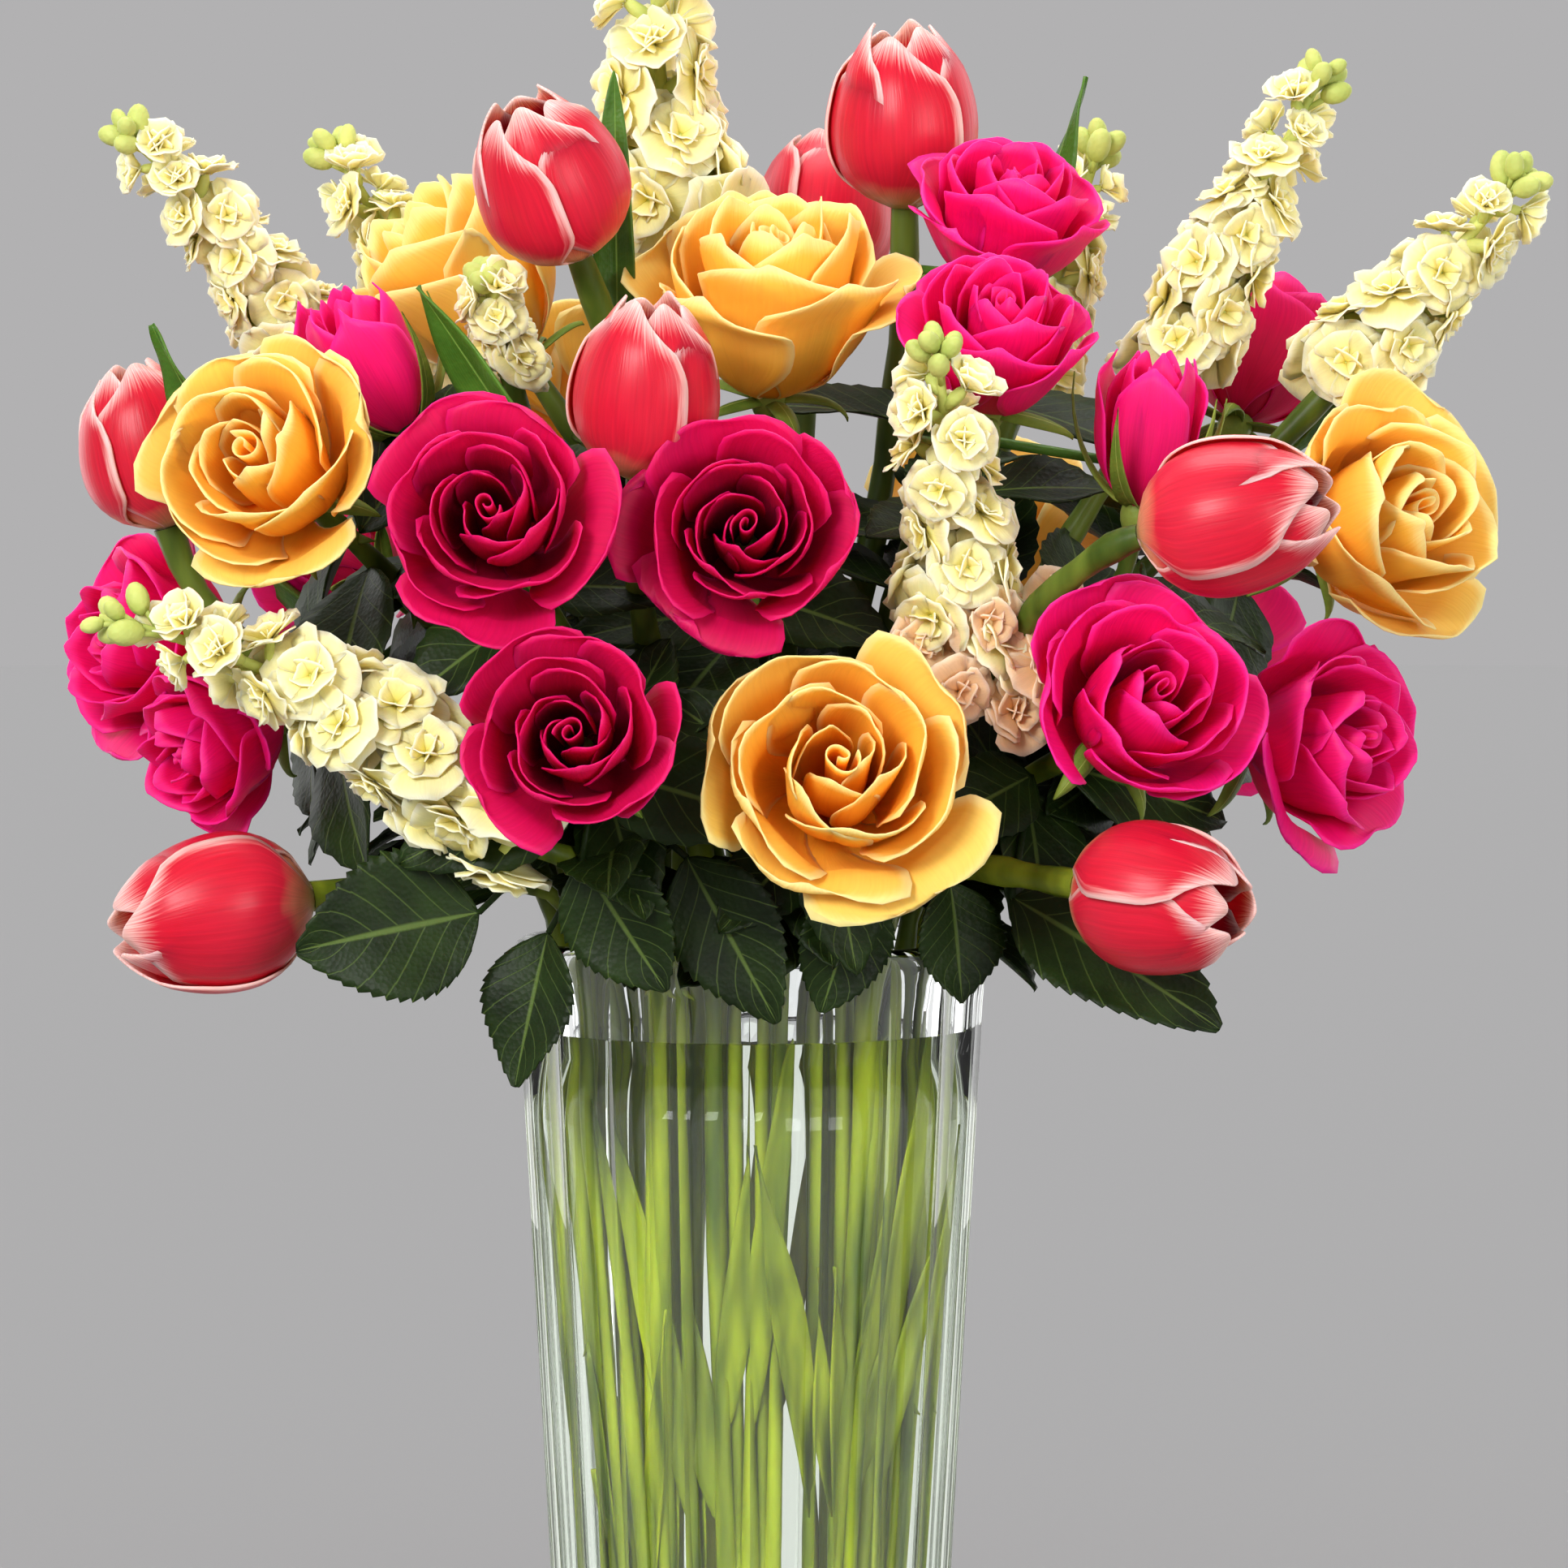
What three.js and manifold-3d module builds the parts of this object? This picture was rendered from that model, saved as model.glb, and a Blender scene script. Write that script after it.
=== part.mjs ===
// Roses, tulips and stock arranged in a fluted crystal vase of water. Millimetres, +Z up.
// The origin is the centre of the vase's flat foot. -Y is the front, the side the arrangement faces.
import * as THREE from "three";
import { mergeVertices } from "three/addons/utils/BufferGeometryUtils.js";
import Module from "manifold-3d";

const wasm = await Module();
wasm.setup();

// Driving dimensions ---------------------------------------------------------------------------
const CLEARANCE = 0.4; // gap kept between pieces that touch

const VASE_HEIGHT = 254;
const VASE_RIM_RADIUS = 71;
const VASE_FOOT_RADIUS = 57;
const VASE_WALL = 6;
const VASE_FLOOR = 22; // thickness of the solid glass under the water
const FLUTE_COUNT = 20;
const FLUTE_DEPTH = 1.8;
const WATER_LEVEL = 226;

const STEM_RADIUS = { rose: 3.2, tulip: 3.8, stock: 3.4 };
const STEM_SIDES = 6;
const STEM_STEP = 28; // length of one straight piece of a curved stem
const FOOT_RING = 31; // radius of the ring of spots that the bunches stand on
const FOOT_TILT = 0.22; // steepest lean of a stem in the vase, as a slope
const FOOT_PACKING = 0.8; // stems of a bunch stand this close at the foot, as a share of touching
const MOUTH_HEIGHT = 250;
const MOUTH_RADIUS = 57; // an outermost stem leans this far out in the mouth
const MOUTH_REACH = 150; // how far out such a stem's head is
const MOUTH_MARGIN = 4.4; // room kept at the edges of each bunch's share of the mouth

const vector = (x, y, z) => new THREE.Vector3(x, y, z);

// Each flower: the middle of its head, the way it faces, the head's radius and length, and the
// bunch of stems that its own stem stands in. bow lifts the middle of a stock's curved spike, and
// approach is how far behind the head its stem lines up with it.
const flower = (at, faces, radius, length, bunch, extra = {}) => {
  return { at, faces, radius, length, bunch, ...extra };
};
const FLOWERS = {
  rose_orange_top: flower([7, -46, 446], [0.05, -0.4, 0.92], 42, 62, "front"),
  rose_orange_upper_left: flower([-88, 16, 452], [-0.6, -0.15, 0.78], 36, 62, "left"),
  rose_orange_left: flower([-139, -99, 397], [-0.35, -0.85, 0.35], 38, 52, "front_left"),
  rose_orange_front: flower([25, -142, 311], [0.05, -0.93, 0.3], 42, 56, "front"),
  rose_orange_right: flower([188, -28, 380], [0.6, -0.7, 0.25], 39, 58, "right"),
  rose_orange_back_left: flower([-58, 98, 412], [-0.25, 0.75, 0.6], 38, 54, "back"),
  rose_orange_back_right: flower([72, 104, 374], [0.25, 0.9, 0.35], 38, 54, "back_right"),
  rose_pink_front_left: flower([-72, -140, 383], [-0.1, -0.95, 0.25], 35, 50, "front_left"),
  rose_pink_front_middle: flower([-1, -122, 378], [0.02, -0.97, 0.2], 34, 50, "front"),
  rose_pink_front_low: flower([-49, -160, 321], [-0.05, -0.97, 0.2], 32, 48, "front_left"),
  rose_pink_front_right: flower([112, -117, 329], [0.35, -0.85, 0.35], 36, 52, "front_right"),
  rose_pink_right: flower([168, -62, 316], [0.75, -0.6, 0.1], 34, 50, "right"),
  rose_pink_upper_right: flower([76, -14, 470], [0.2, -0.45, 0.87], 31, 46, "right"),
  rose_pink_upper_middle: flower([72, -74, 433], [0.1, -0.6, 0.79], 30, 48, "front_right"),
  rose_bud_right: flower([117, -60, 407], [0.12, -0.2, 0.97], 21, 48, "right"),
  rose_bud_left: flower([-112, -46, 427], [-0.45, -0.3, 0.82], 23, 50, "left"),
  rose_pink_far_left: flower([-180, -2, 342], [-0.84, -0.5, 0.15], 36, 50, "left"),
  rose_pink_low_left: flower([-158, -42, 314], [-0.75, -0.55, -0.3], 27, 44, "left"),
  rose_pink_far_right: flower([158, 74, 430], [0.35, 0.35, 0.87], 30, 48, "back_right"),
  rose_pink_back: flower([0, 130, 338], [0, 0.97, 0.2], 35, 50, "back"),
  rose_pink_back_left: flower([-128, 84, 366], [-0.6, 0.75, 0.3], 34, 50, "back_left"),
  rose_pink_back_right: flower([148, 92, 330], [0.6, 0.75, 0.2], 34, 50, "back_right"),
  tulip_upper_left: flower([-60, -74, 484], [-0.33, -0.39, 0.86], 22, 62, "front_left"),
  tulip_top: flower([46, 32, 506], [-0.02, -0.16, 0.98], 22.5, 66, "right"),
  tulip_middle: flower([-29, -110, 424], [0.08, -0.25, 0.96], 21, 64, "front"),
  tulip_far_left: flower([-179, -42, 406], [-0.25, -0.12, 0.95], 20, 58, "left"),
  tulip_right: flower([143, -138, 384], [0.93, -0.3, 0.2], 22, 68, "front_right", { approach: 22 }),
  tulip_low_right: flower([121, -133, 274], [0.82, -0.52, -0.1], 21.5, 64, "front_right"),
  tulip_low_left: flower([-162, -66, 265], [-0.95, -0.27, -0.14], 23, 70, "front_left"),
  tulip_back: flower([22, 82, 476], [0.08, 0.4, 0.91], 21, 62, "back"),
  tulip_low_back: flower([-96, 122, 298], [-0.6, 0.78, 0.02], 21, 62, "back_left"),
  stock_top: flower([-27, 36, 507], [-0.07, -0.1, 0.99], 27, 88, "back"),
  stock_upper_left: flower([-160, -12, 464], [-0.6, -0.4, 0.72], 18, 90, "left", { bow: 4 }),
  stock_low_left: flower([-126, -110, 322], [-0.88, 0.02, 0.46], 24, 136, "front_left", { bow: 10 }),
  stock_middle_left: flower([-74, -44, 437], [-0.2, -0.4, 0.89], 12, 32, "left"),
  stock_upper_right: flower([150, 12, 471], [0.46, -0.02, 0.89], 21, 100, "right"),
  stock_far_right: flower([205, 14, 452], [0.66, -0.12, 0.74], 22, 84, "right"),
  stock_front_right: flower([58, -106, 390], [-0.1, -0.38, 0.92], 22, 92, "front_right"),
  stock_back_left: flower([-110, 74, 462], [-0.5, 0.35, 0.79], 20, 84, "back_left"),
  stock_back_right: flower([96, 78, 458], [0.3, 0.35, 0.89], 20, 84, "back_right"),
};

// The bunches stand round the vase's floor in this order, anticlockwise from the front.
const BUNCHES = ["front", "front_right", "right", "back_right", "back", "back_left", "left", "front_left"];

// Leaves that hang over the rim, each from its base to its tip.
const ROSE_LEAVES = {
  rose_leaf_far_left: { base: [-78, -98, 268], tip: [-126, -108, 259], width: 40 },
  rose_leaf_left: { base: [-58, -96, 262], tip: [-68, -98, 221], width: 27 },
  rose_leaf_front_left: { base: [-48, -112, 284], tip: [-26, -114, 249], width: 30 },
  rose_leaf_front: { base: [-18, -100, 284], tip: [6, -104, 240], width: 30 },
  rose_leaf_front_middle: { base: [32, -94, 276], tip: [22, -92, 241], width: 26 },
  rose_leaf_front_right: { base: [58, -90, 276], tip: [62, -92, 244], width: 26 },
  rose_leaf_right: { base: [76, -94, 272], tip: [131, -112, 240], width: 40 },
};
const TULIP_LEAVES = {
  tulip_leaf_left: { base: [-58, -78, 392], tip: [-95, -84, 449], width: 21 },
  tulip_leaf_right: { base: [82, 26, 452], tip: [100, 22, 513], width: 15 },
};
const LEAF_THICKNESS = 1.2;
const PETIOLE_RADIUS = 1.1;

const COLOURS = {
  rose_orange: 0xf5a63a,
  rose_pink: 0xd80f5c,
  rose_bud: 0xc80f52,
  tulip: 0xe0303f,
  stock: 0xf0e6a0,
  stem: 0x7f9c34,
  rose_leaf: 0x24400f,
  tulip_leaf: 0x3f6b1c,
};
const finish = (color, roughness) => new THREE.MeshStandardMaterial({ color, roughness, metalness: 0 });
const clear = (color, roughness, opacity) => {
  return new THREE.MeshStandardMaterial({ color, roughness, transparent: true, opacity });
};

// Solids and meshes ----------------------------------------------------------------------------
function solidOf(geometry) {
  const bare = new THREE.BufferGeometry().setAttribute("position", geometry.getAttribute("position"));
  bare.setIndex(geometry.index);
  const merged = mergeVertices(bare, 1e-3);
  return new wasm.Manifold(
    new wasm.Mesh({
      numProp: 3,
      vertProperties: merged.attributes.position.array,
      triVerts: new Uint32Array(merged.index.array),
    }),
  );
}

function geometryOf(solid) {
  const mesh = solid.getMesh();
  return new THREE.BufferGeometry()
    .setAttribute("position", new THREE.BufferAttribute(mesh.vertProperties, 3))
    .setIndex(new THREE.BufferAttribute(mesh.triVerts, 1));
}

function named(name, geometry, material) {
  const mesh = new THREE.Mesh(geometry, material);
  mesh.name = name;
  return mesh;
}

// A closed round body about the Y axis. shape moves each ring's points: it is given the angle, the
// point's number on the profile and its radius, and returns the new radius.
function turned(profile, segments, shape = (angle, ring, radius) => radius) {
  const lathe = new THREE.LatheGeometry(profile.map(([r, h]) => new THREE.Vector2(r, h)), segments);
  const position = lathe.getAttribute("position");
  for (let i = 0; i < position.count; i++) {
    const [x, z] = [position.getX(i), position.getZ(i)];
    const radius = Math.hypot(x, z);
    if (radius < 1e-6) continue;
    const wanted = shape(Math.atan2(x, z), i % profile.length, radius);
    position.setX(i, (x / radius) * wanted);
    position.setZ(i, (z / radius) * wanted);
  }
  return lathe;
}

// Vase and water -------------------------------------------------------------------------------
function vase() {
  const slope = (VASE_RIM_RADIUS - VASE_FOOT_RADIUS) / VASE_HEIGHT;
  const outside = (h) => VASE_FOOT_RADIUS + slope * h;
  const outer = [
    [0, 0],
    [VASE_FOOT_RADIUS - 4, 0],
    [outside(3), 3],
    [outside(VASE_HEIGHT / 2), VASE_HEIGHT / 2],
    [outside(VASE_HEIGHT - 2), VASE_HEIGHT - 2],
    [outside(VASE_HEIGHT) - 2, VASE_HEIGHT],
  ];
  const inner = [
    [outside(VASE_HEIGHT) - VASE_WALL + 1, VASE_HEIGHT],
    [outside(VASE_HEIGHT) - VASE_WALL, VASE_HEIGHT - 2],
    [insideRadius(VASE_FLOOR + 8), VASE_FLOOR + 8],
    [insideRadius(VASE_FLOOR) - 7, VASE_FLOOR],
    [0, VASE_FLOOR],
  ];
  // Flutes are cut only into the outside, so that sharp ridges stand between shallow hollows.
  const fluted = (angle, ring, radius) =>
    ring > 1 && ring < outer.length - 1
      ? radius - FLUTE_DEPTH * Math.abs(Math.sin((angle * FLUTE_COUNT) / 2))
      : radius;
  const geometry = turned([...outer, ...inner], FLUTE_COUNT * 2, fluted).rotateX(Math.PI / 2);
  return named("vase", geometry, clear(0xf2f7f7, 0.03, 0.35));
}

function insideRadius(height) {
  const slope = (VASE_RIM_RADIUS - VASE_FOOT_RADIUS) / VASE_HEIGHT;
  return VASE_FOOT_RADIUS + slope * height - VASE_WALL;
}

// The water fills the vase round the stems, so a channel is cut in it for each of them.
function water(channels) {
  const low = VASE_FLOOR + CLEARANCE;
  const profile = [
    [0, low],
    [insideRadius(VASE_FLOOR) - 7 - 2 * CLEARANCE, low],
    [insideRadius(VASE_FLOOR + 8) - 2 * CLEARANCE, VASE_FLOOR + 8 + CLEARANCE],
    [insideRadius(WATER_LEVEL) - 2 * CLEARANCE, WATER_LEVEL],
    [0, WATER_LEVEL],
  ];
  let body = solidOf(turned(profile, FLUTE_COUNT).rotateX(Math.PI / 2));
  for (const channel of channels) body = body.subtract(channel);
  // The few drops shut in between the stems of a bunch are left out.
  const [largest] = body.decompose().sort((a, b) => b.volume() - a.volume());
  return named("water", geometryOf(largest), clear(0xe8f2e4, 0.02, 0.3));
}

// Flower heads ---------------------------------------------------------------------------------
// Each profile runs from the stem to the tip, as shares of the head's radius and of its length.
const ROSE_PROFILE = [
  [0, 0], [0.2, 0], [0.52, 0.1], [0.82, 0.36], [0.94, 0.66],
  [1, 0.84], [0.84, 0.92], [0.42, 0.9], [0.2, 0.99], [0, 1],
];
const TULIP_PROFILE = [
  [0, 0], [0.26, 0], [0.72, 0.12], [0.97, 0.32], [1, 0.52],
  [0.88, 0.76], [0.58, 0.97], [0.4, 1], [0.3, 0.9], [0, 0.86],
];
const STOCK_PROFILE = [
  [0, 0], [0.25, 0], [0.72, 0.06], [0.96, 0.16], [0.8, 0.24], [1, 0.34], [0.76, 0.43],
  [0.88, 0.53], [0.64, 0.62], [0.7, 0.72], [0.42, 0.8], [0.44, 0.9], [0.2, 0.99], [0, 1],
];
const HEADS = {
  rose: { profile: ROSE_PROFILE, segments: 10, lobes: 5, lobe: 0.05 },
  tulip: { profile: TULIP_PROFILE, segments: 12, lobes: 6, lobe: 0.03 },
  stock: { profile: STOCK_PROFILE, segments: 8, lobes: 4, lobe: 0.06 },
};

const kindOf = (name) => name.split("_")[0];

function head(name, flower) {
  const { profile, segments, lobes, lobe } = HEADS[kindOf(name)];
  const scaled = profile.map(([r, h]) => [r * flower.radius, (h - 0.5) * flower.length]);
  const lobed = (angle, ring, radius) =>
    ring > 1 ? radius * (1 - lobe + lobe * Math.cos(lobes * angle)) : radius;
  const geometry = turned(scaled, segments, lobed);
  if (flower.bow) bend(geometry, flower);
  const kind = name.startsWith("rose") ? name.split("_").slice(0, 2).join("_") : kindOf(name);
  const mesh = named(name, geometry, finish(COLOURS[kind], 0.6));
  mesh.position.set(...flower.at);
  mesh.quaternion.copy(facing(flower));
  return mesh;
}

// The turn that stands a head, made along Y, the way that its flower faces.
function facing(flower) {
  return new THREE.Quaternion().setFromUnitVectors(vector(0, 1, 0), vector(...flower.faces).normalize());
}

// Lifts the middle of a curved spike, in its own frame, without moving its two ends.
function bend(geometry, flower) {
  const up = vector(0, 0, 1).applyQuaternion(facing(flower).invert());
  up.y = 0;
  up.normalize();
  const position = geometry.getAttribute("position");
  for (let i = 0; i < position.count; i++) {
    const share = position.getY(i) / flower.length + 0.5;
    const lift = flower.bow * 4 * share * (1 - share);
    position.setX(i, position.getX(i) + up.x * lift);
    position.setZ(i, position.getZ(i) + up.z * lift);
  }
}

// Stems ----------------------------------------------------------------------------------------
// A straight length from foot to mouth followed by a curve. Its first step is the whole straight
// length, and the others share the curve, so getPoint and getPointAt mean the same here.
class StemPath extends THREE.Curve {
  constructor(straight, above) {
    super();
    this.straight = straight;
    this.above = above;
    this.steps = 1 + Math.ceil(above.getLength() / STEM_STEP);
  }

  getPoint(t) {
    const first = 1 / this.steps;
    return t < first ? this.straight.getPoint(t / first) : this.above.getPoint((t - first) / (1 - first));
  }

  getPointAt(u) {
    return this.getPoint(u);
  }

  getTangentAt(u) {
    return this.getTangent(u);
  }
}

// A stem stands on the vase's floor in its bunch, leans straight up to the mouth inside its bunch's
// share of it, then curves to its head and comes up behind the head along the way that it faces.
function stemPath(name, place, count) {
  const flower = FLOWERS[name];
  const middle = ((BUNCHES.indexOf(flower.bunch) - 2) * 2 * Math.PI) / BUNCHES.length;
  const turn = middle + (place * 2 * Math.PI) / count;
  const packed = (FOOT_PACKING * STEM_RADIUS.rose) / Math.sin(Math.PI / count);
  const foot = vector(
    FOOT_RING * Math.cos(middle) + packed * Math.cos(turn),
    FOOT_RING * Math.sin(middle) + packed * Math.sin(turn),
    VASE_FLOOR + CLEARANCE + FOOT_TILT * STEM_RADIUS[kindOf(name)],
  );
  const axis = vector(...flower.faces).normalize();
  const neck = vector(...flower.at).addScaledVector(axis, -flower.length / 2 - CLEARANCE);
  const away = Math.hypot(neck.x, neck.y);
  const lean = MOUTH_RADIUS * Math.min(1, away / MOUTH_REACH);
  const share = Math.max(0, Math.PI / BUNCHES.length - Math.asin(Math.min(1, MOUTH_MARGIN / lean)));
  const aside = Math.atan2(neck.y, neck.x) - middle;
  const kept = THREE.MathUtils.clamp(Math.atan2(Math.sin(aside), Math.cos(aside)), -share, share);
  const mouth = vector(lean * Math.cos(middle + kept), lean * Math.sin(middle + kept), MOUTH_HEIGHT);
  const onward = mouth.clone().sub(foot).normalize();
  const rise = neck.distanceTo(mouth) * 0.4;
  const above = new THREE.CubicBezierCurve3(
    mouth,
    mouth.clone().addScaledVector(onward, rise),
    neck.clone().addScaledVector(axis, -(flower.approach ?? rise)),
    neck,
  );
  return new StemPath(new THREE.LineCurve3(foot, mouth), above);
}

function tube(path, radius, steps, sides = STEM_SIDES) {
  const section = new THREE.Shape();
  for (let i = 0; i < sides; i++) {
    const angle = (i * 2 * Math.PI) / sides;
    const point = [radius * Math.cos(angle), radius * Math.sin(angle)];
    if (i) section.lineTo(...point);
    else section.moveTo(...point);
  }
  return solidOf(new THREE.ExtrudeGeometry(section, { steps, extrudePath: path, bevelEnabled: false }));
}

// The room that one stem takes in the water: a straight channel wide enough for the stem's section
// whichever way it is turned, carried on through the water's underside and its surface.
function channelOf(path, radius) {
  const { v1: foot, v2: mouth } = path.straight;
  const along = mouth.clone().sub(foot).normalize();
  const line = new THREE.LineCurve3(foot.clone().addScaledVector(along, -8), mouth);
  return tube(line, (radius + CLEARANCE) / Math.cos(Math.PI / STEM_SIDES), 1);
}

// Leaves ---------------------------------------------------------------------------------------
function leafOutline(length, width, fullest) {
  const half = width / 2;
  const outline = new THREE.Shape();
  outline.moveTo(1.2, 0);
  outline.quadraticCurveTo(half * 1.15, length * fullest * 0.45, half, length * fullest);
  outline.quadraticCurveTo(half * 0.85, length * 0.8, 0.8, length);
  outline.lineTo(-0.8, length);
  outline.quadraticCurveTo(-half * 0.85, length * 0.8, -half, length * fullest);
  outline.quadraticCurveTo(-half * 1.15, length * fullest * 0.45, -1.2, 0);
  return outline;
}

// A leaf: a blade arched along its length, from base to tip with its face turned away from the
// vase's axis, and the stalk that joins it to the nearest stem of its own kind of flower.
function leaf(name, { base, tip, width }, { fullest, arch, material }) {
  const kind = kindOf(name);
  const start = vector(...base);
  const along = vector(...tip).sub(start);
  const length = along.length();
  along.normalize();
  const face = vector(start.x, start.y, 0).normalize();
  face.addScaledVector(along, -face.dot(along)).normalize();
  const across = along.clone().cross(face);
  const geometry = new THREE.ExtrudeGeometry(leafOutline(length, width, fullest), {
    depth: LEAF_THICKNESS, bevelEnabled: false, curveSegments: 3,
  });
  const archAt = (share) => arch * length * 4 * share * (1 - share);
  const position = geometry.getAttribute("position");
  for (let i = 0; i < position.count; i++) {
    position.setZ(i, position.getZ(i) + archAt(position.getY(i) / length));
  }
  geometry.applyMatrix4(new THREE.Matrix4().makeBasis(across, along, face).setPosition(start));

  const points = Object.keys(paths).filter((flower) => kindOf(flower) === kind)
    .flatMap((flower) => paths[flower].getPoints(80))
    .filter((p) => p.z > VASE_HEIGHT - 20);
  const joint = points.reduce((best, p) => (p.distanceTo(start) < best.distanceTo(start) ? p : best));
  const reach = joint.clone().sub(start);
  reach.setLength(reach.length() - STEM_RADIUS[kind] - CLEARANCE - PETIOLE_RADIUS);
  const into = start.clone().addScaledVector(along, 0.1 * length)
    .addScaledVector(face, archAt(0.1) + LEAF_THICKNESS / 2);
  const stalk = tube(new THREE.LineCurve3(start.clone().add(reach), into), PETIOLE_RADIUS, 1, 4);
  return named(name, geometryOf(solidOf(geometry).add(stalk)), material);
}

// The arrangement ------------------------------------------------------------------------------
const paths = {};
const channels = [];
const arrangement = new THREE.Group();
for (const bunch of BUNCHES) {
  const members = Object.keys(FLOWERS).filter((name) => FLOWERS[name].bunch === bunch);
  let stems = null;
  members.forEach((name, place) => {
    const radius = STEM_RADIUS[kindOf(name)];
    paths[name] = stemPath(name, place, members.length);
    const stem = tube(paths[name], radius, paths[name].steps);
    stems = stems ? stems.add(stem) : stem;
    channels.push(channelOf(paths[name], radius));
  });
  arrangement.add(named(`stems_${bunch}`, geometryOf(stems), finish(COLOURS.stem, 0.6)));
}
for (const [name, flower] of Object.entries(FLOWERS)) arrangement.add(head(name, flower));
const roseLeaf = { fullest: 0.42, arch: 0.05, material: finish(COLOURS.rose_leaf, 0.5) };
for (const [name, place] of Object.entries(ROSE_LEAVES)) arrangement.add(leaf(name, place, roseLeaf));
const tulipLeaf = { fullest: 0.3, arch: 0.03, material: finish(COLOURS.tulip_leaf, 0.5) };
for (const [name, place] of Object.entries(TULIP_LEAVES)) arrangement.add(leaf(name, place, tulipLeaf));
arrangement.add(vase(), water(channels));

export default arrangement;
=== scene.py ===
import math
import random

import bmesh
import bpy
from mathutils import Matrix, Vector, noise


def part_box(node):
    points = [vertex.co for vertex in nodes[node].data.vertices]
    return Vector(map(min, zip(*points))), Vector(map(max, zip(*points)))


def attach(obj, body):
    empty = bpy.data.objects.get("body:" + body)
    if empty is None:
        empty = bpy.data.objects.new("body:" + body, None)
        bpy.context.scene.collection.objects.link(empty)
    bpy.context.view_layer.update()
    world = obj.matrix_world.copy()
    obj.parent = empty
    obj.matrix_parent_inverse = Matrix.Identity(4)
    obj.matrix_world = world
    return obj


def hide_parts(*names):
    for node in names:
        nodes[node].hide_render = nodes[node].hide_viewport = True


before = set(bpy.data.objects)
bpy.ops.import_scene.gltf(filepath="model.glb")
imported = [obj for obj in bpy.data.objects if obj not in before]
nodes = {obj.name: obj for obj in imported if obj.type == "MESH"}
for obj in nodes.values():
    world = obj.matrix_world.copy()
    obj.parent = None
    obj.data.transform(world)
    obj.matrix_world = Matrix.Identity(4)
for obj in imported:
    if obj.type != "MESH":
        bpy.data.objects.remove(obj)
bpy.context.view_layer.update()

# The studio ----------------------------------------------------------------------------------
# A pale matte floor, one large soft lamp high in front on the left, a weaker one on the right,
# two tall strip lamps behind that put bright edges on the glass, and an even pale surround.


def paint(code):
    """A colour, from its usual six-figure code to the linear values that shaders take."""
    parts = [int(code[i : i + 2], 16) / 255 for i in (0, 2, 4)]
    return [c / 12.92 if c <= 0.04045 else ((c + 0.055) / 1.055) ** 2.4 for c in parts] + [1.0]


def add_node(tree, kind, inputs=None, **settings):
    """A node in tree, with its settings, and with each input linked to a socket or set to a value."""
    node = tree.nodes.new(kind)
    for key, value in settings.items():
        setattr(node, key, value)
    for key, value in (inputs or {}).items():
        if isinstance(value, bpy.types.NodeSocket):
            tree.links.new(value, node.inputs[key])
        else:
            node.inputs[key].default_value = value
    return node


def new_material(name, **sockets):
    """A material, its node tree and its Principled shader, with the shader's own sockets set."""
    made = bpy.data.materials.new(name)
    made.use_nodes = True
    shader = made.node_tree.nodes["Principled BSDF"]
    for socket, value in sockets.items():
        shader.inputs[socket.replace("_", " ")].default_value = value
    return made, made.node_tree, shader


CAMERA_AWAY = 2.4
CAMERA_LIFT = math.radians(3)
CAMERA_LENS = 183.4
CAMERA_AIM = Vector((0.010, 0.0, 0.300))

camera = bpy.data.objects.new("camera", bpy.data.cameras.new("camera"))
bpy.context.scene.collection.objects.link(camera)
camera.data.lens = CAMERA_LENS
camera.data.sensor_width = 36
camera.location = CAMERA_AIM + CAMERA_AWAY * Vector((0, -math.cos(CAMERA_LIFT), math.sin(CAMERA_LIFT)))
camera.rotation_euler = (math.pi / 2 - CAMERA_LIFT, 0, 0)
bpy.context.scene.camera = camera
bpy.context.scene.view_settings.view_transform = "Standard"

FLOOR_RADIUS = 9.0
grey, tree, shader = new_material("studio_floor", Roughness=0.85)
cloud = add_node(tree, "ShaderNodeTexNoise", {"Scale": 1.5, "Detail": 2.0})
floor_tones = add_node(tree, "ShaderNodeValToRGB", {"Fac": cloud.outputs["Fac"]})
floor_tones.color_ramp.elements[0].color = paint("deddde")
floor_tones.color_ramp.elements[1].color = paint("e4e3e4")
tree.links.new(floor_tones.outputs["Color"], shader.inputs["Base Color"])
# Seen through the vase the floor glows white with painted light, as if light cards lay behind it.
painted_glow = add_node(tree, "ShaderNodeEmission", {"Color": paint("ffffff"), "Strength": 0.9})
path = add_node(tree, "ShaderNodeLightPath")
surface = add_node(
    tree,
    "ShaderNodeMixShader",
    {0: path.outputs["Is Transmission Ray"], 1: shader.outputs[0], 2: painted_glow.outputs[0]},
)
tree.links.new(surface.outputs[0], tree.nodes["Material Output"].inputs["Surface"])
disc = bmesh.new()
bmesh.ops.create_circle(disc, cap_ends=True, segments=96, radius=FLOOR_RADIUS)
floor_mesh = bpy.data.meshes.new("studio_floor")
disc.to_mesh(floor_mesh)
disc.free()
floor_mesh.materials.append(grey)
floor = bpy.data.objects.new("studio_floor", floor_mesh)
bpy.context.scene.collection.objects.link(floor)


lit = bpy.data.collections.new("lit_by_lamps")


def lamp(name, place, aim, width, height, power):
    """A soft rectangular lamp at place that points at aim. It lights only the pieces in lit, so the
    floor keeps the even tone of the air round it, and the camera doesn't see the lamp itself."""
    made = bpy.data.objects.new(name, bpy.data.lights.new(name, "AREA"))
    made.data.shape = "RECTANGLE"
    made.data.size, made.data.size_y = width, height
    made.data.energy = power
    made.location = place
    made.rotation_euler = (Vector(aim) - Vector(place)).to_track_quat("-Z", "Y").to_euler()
    made.visible_camera = False
    made.light_linking.receiver_collection = lit
    bpy.context.scene.collection.objects.link(made)


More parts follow.
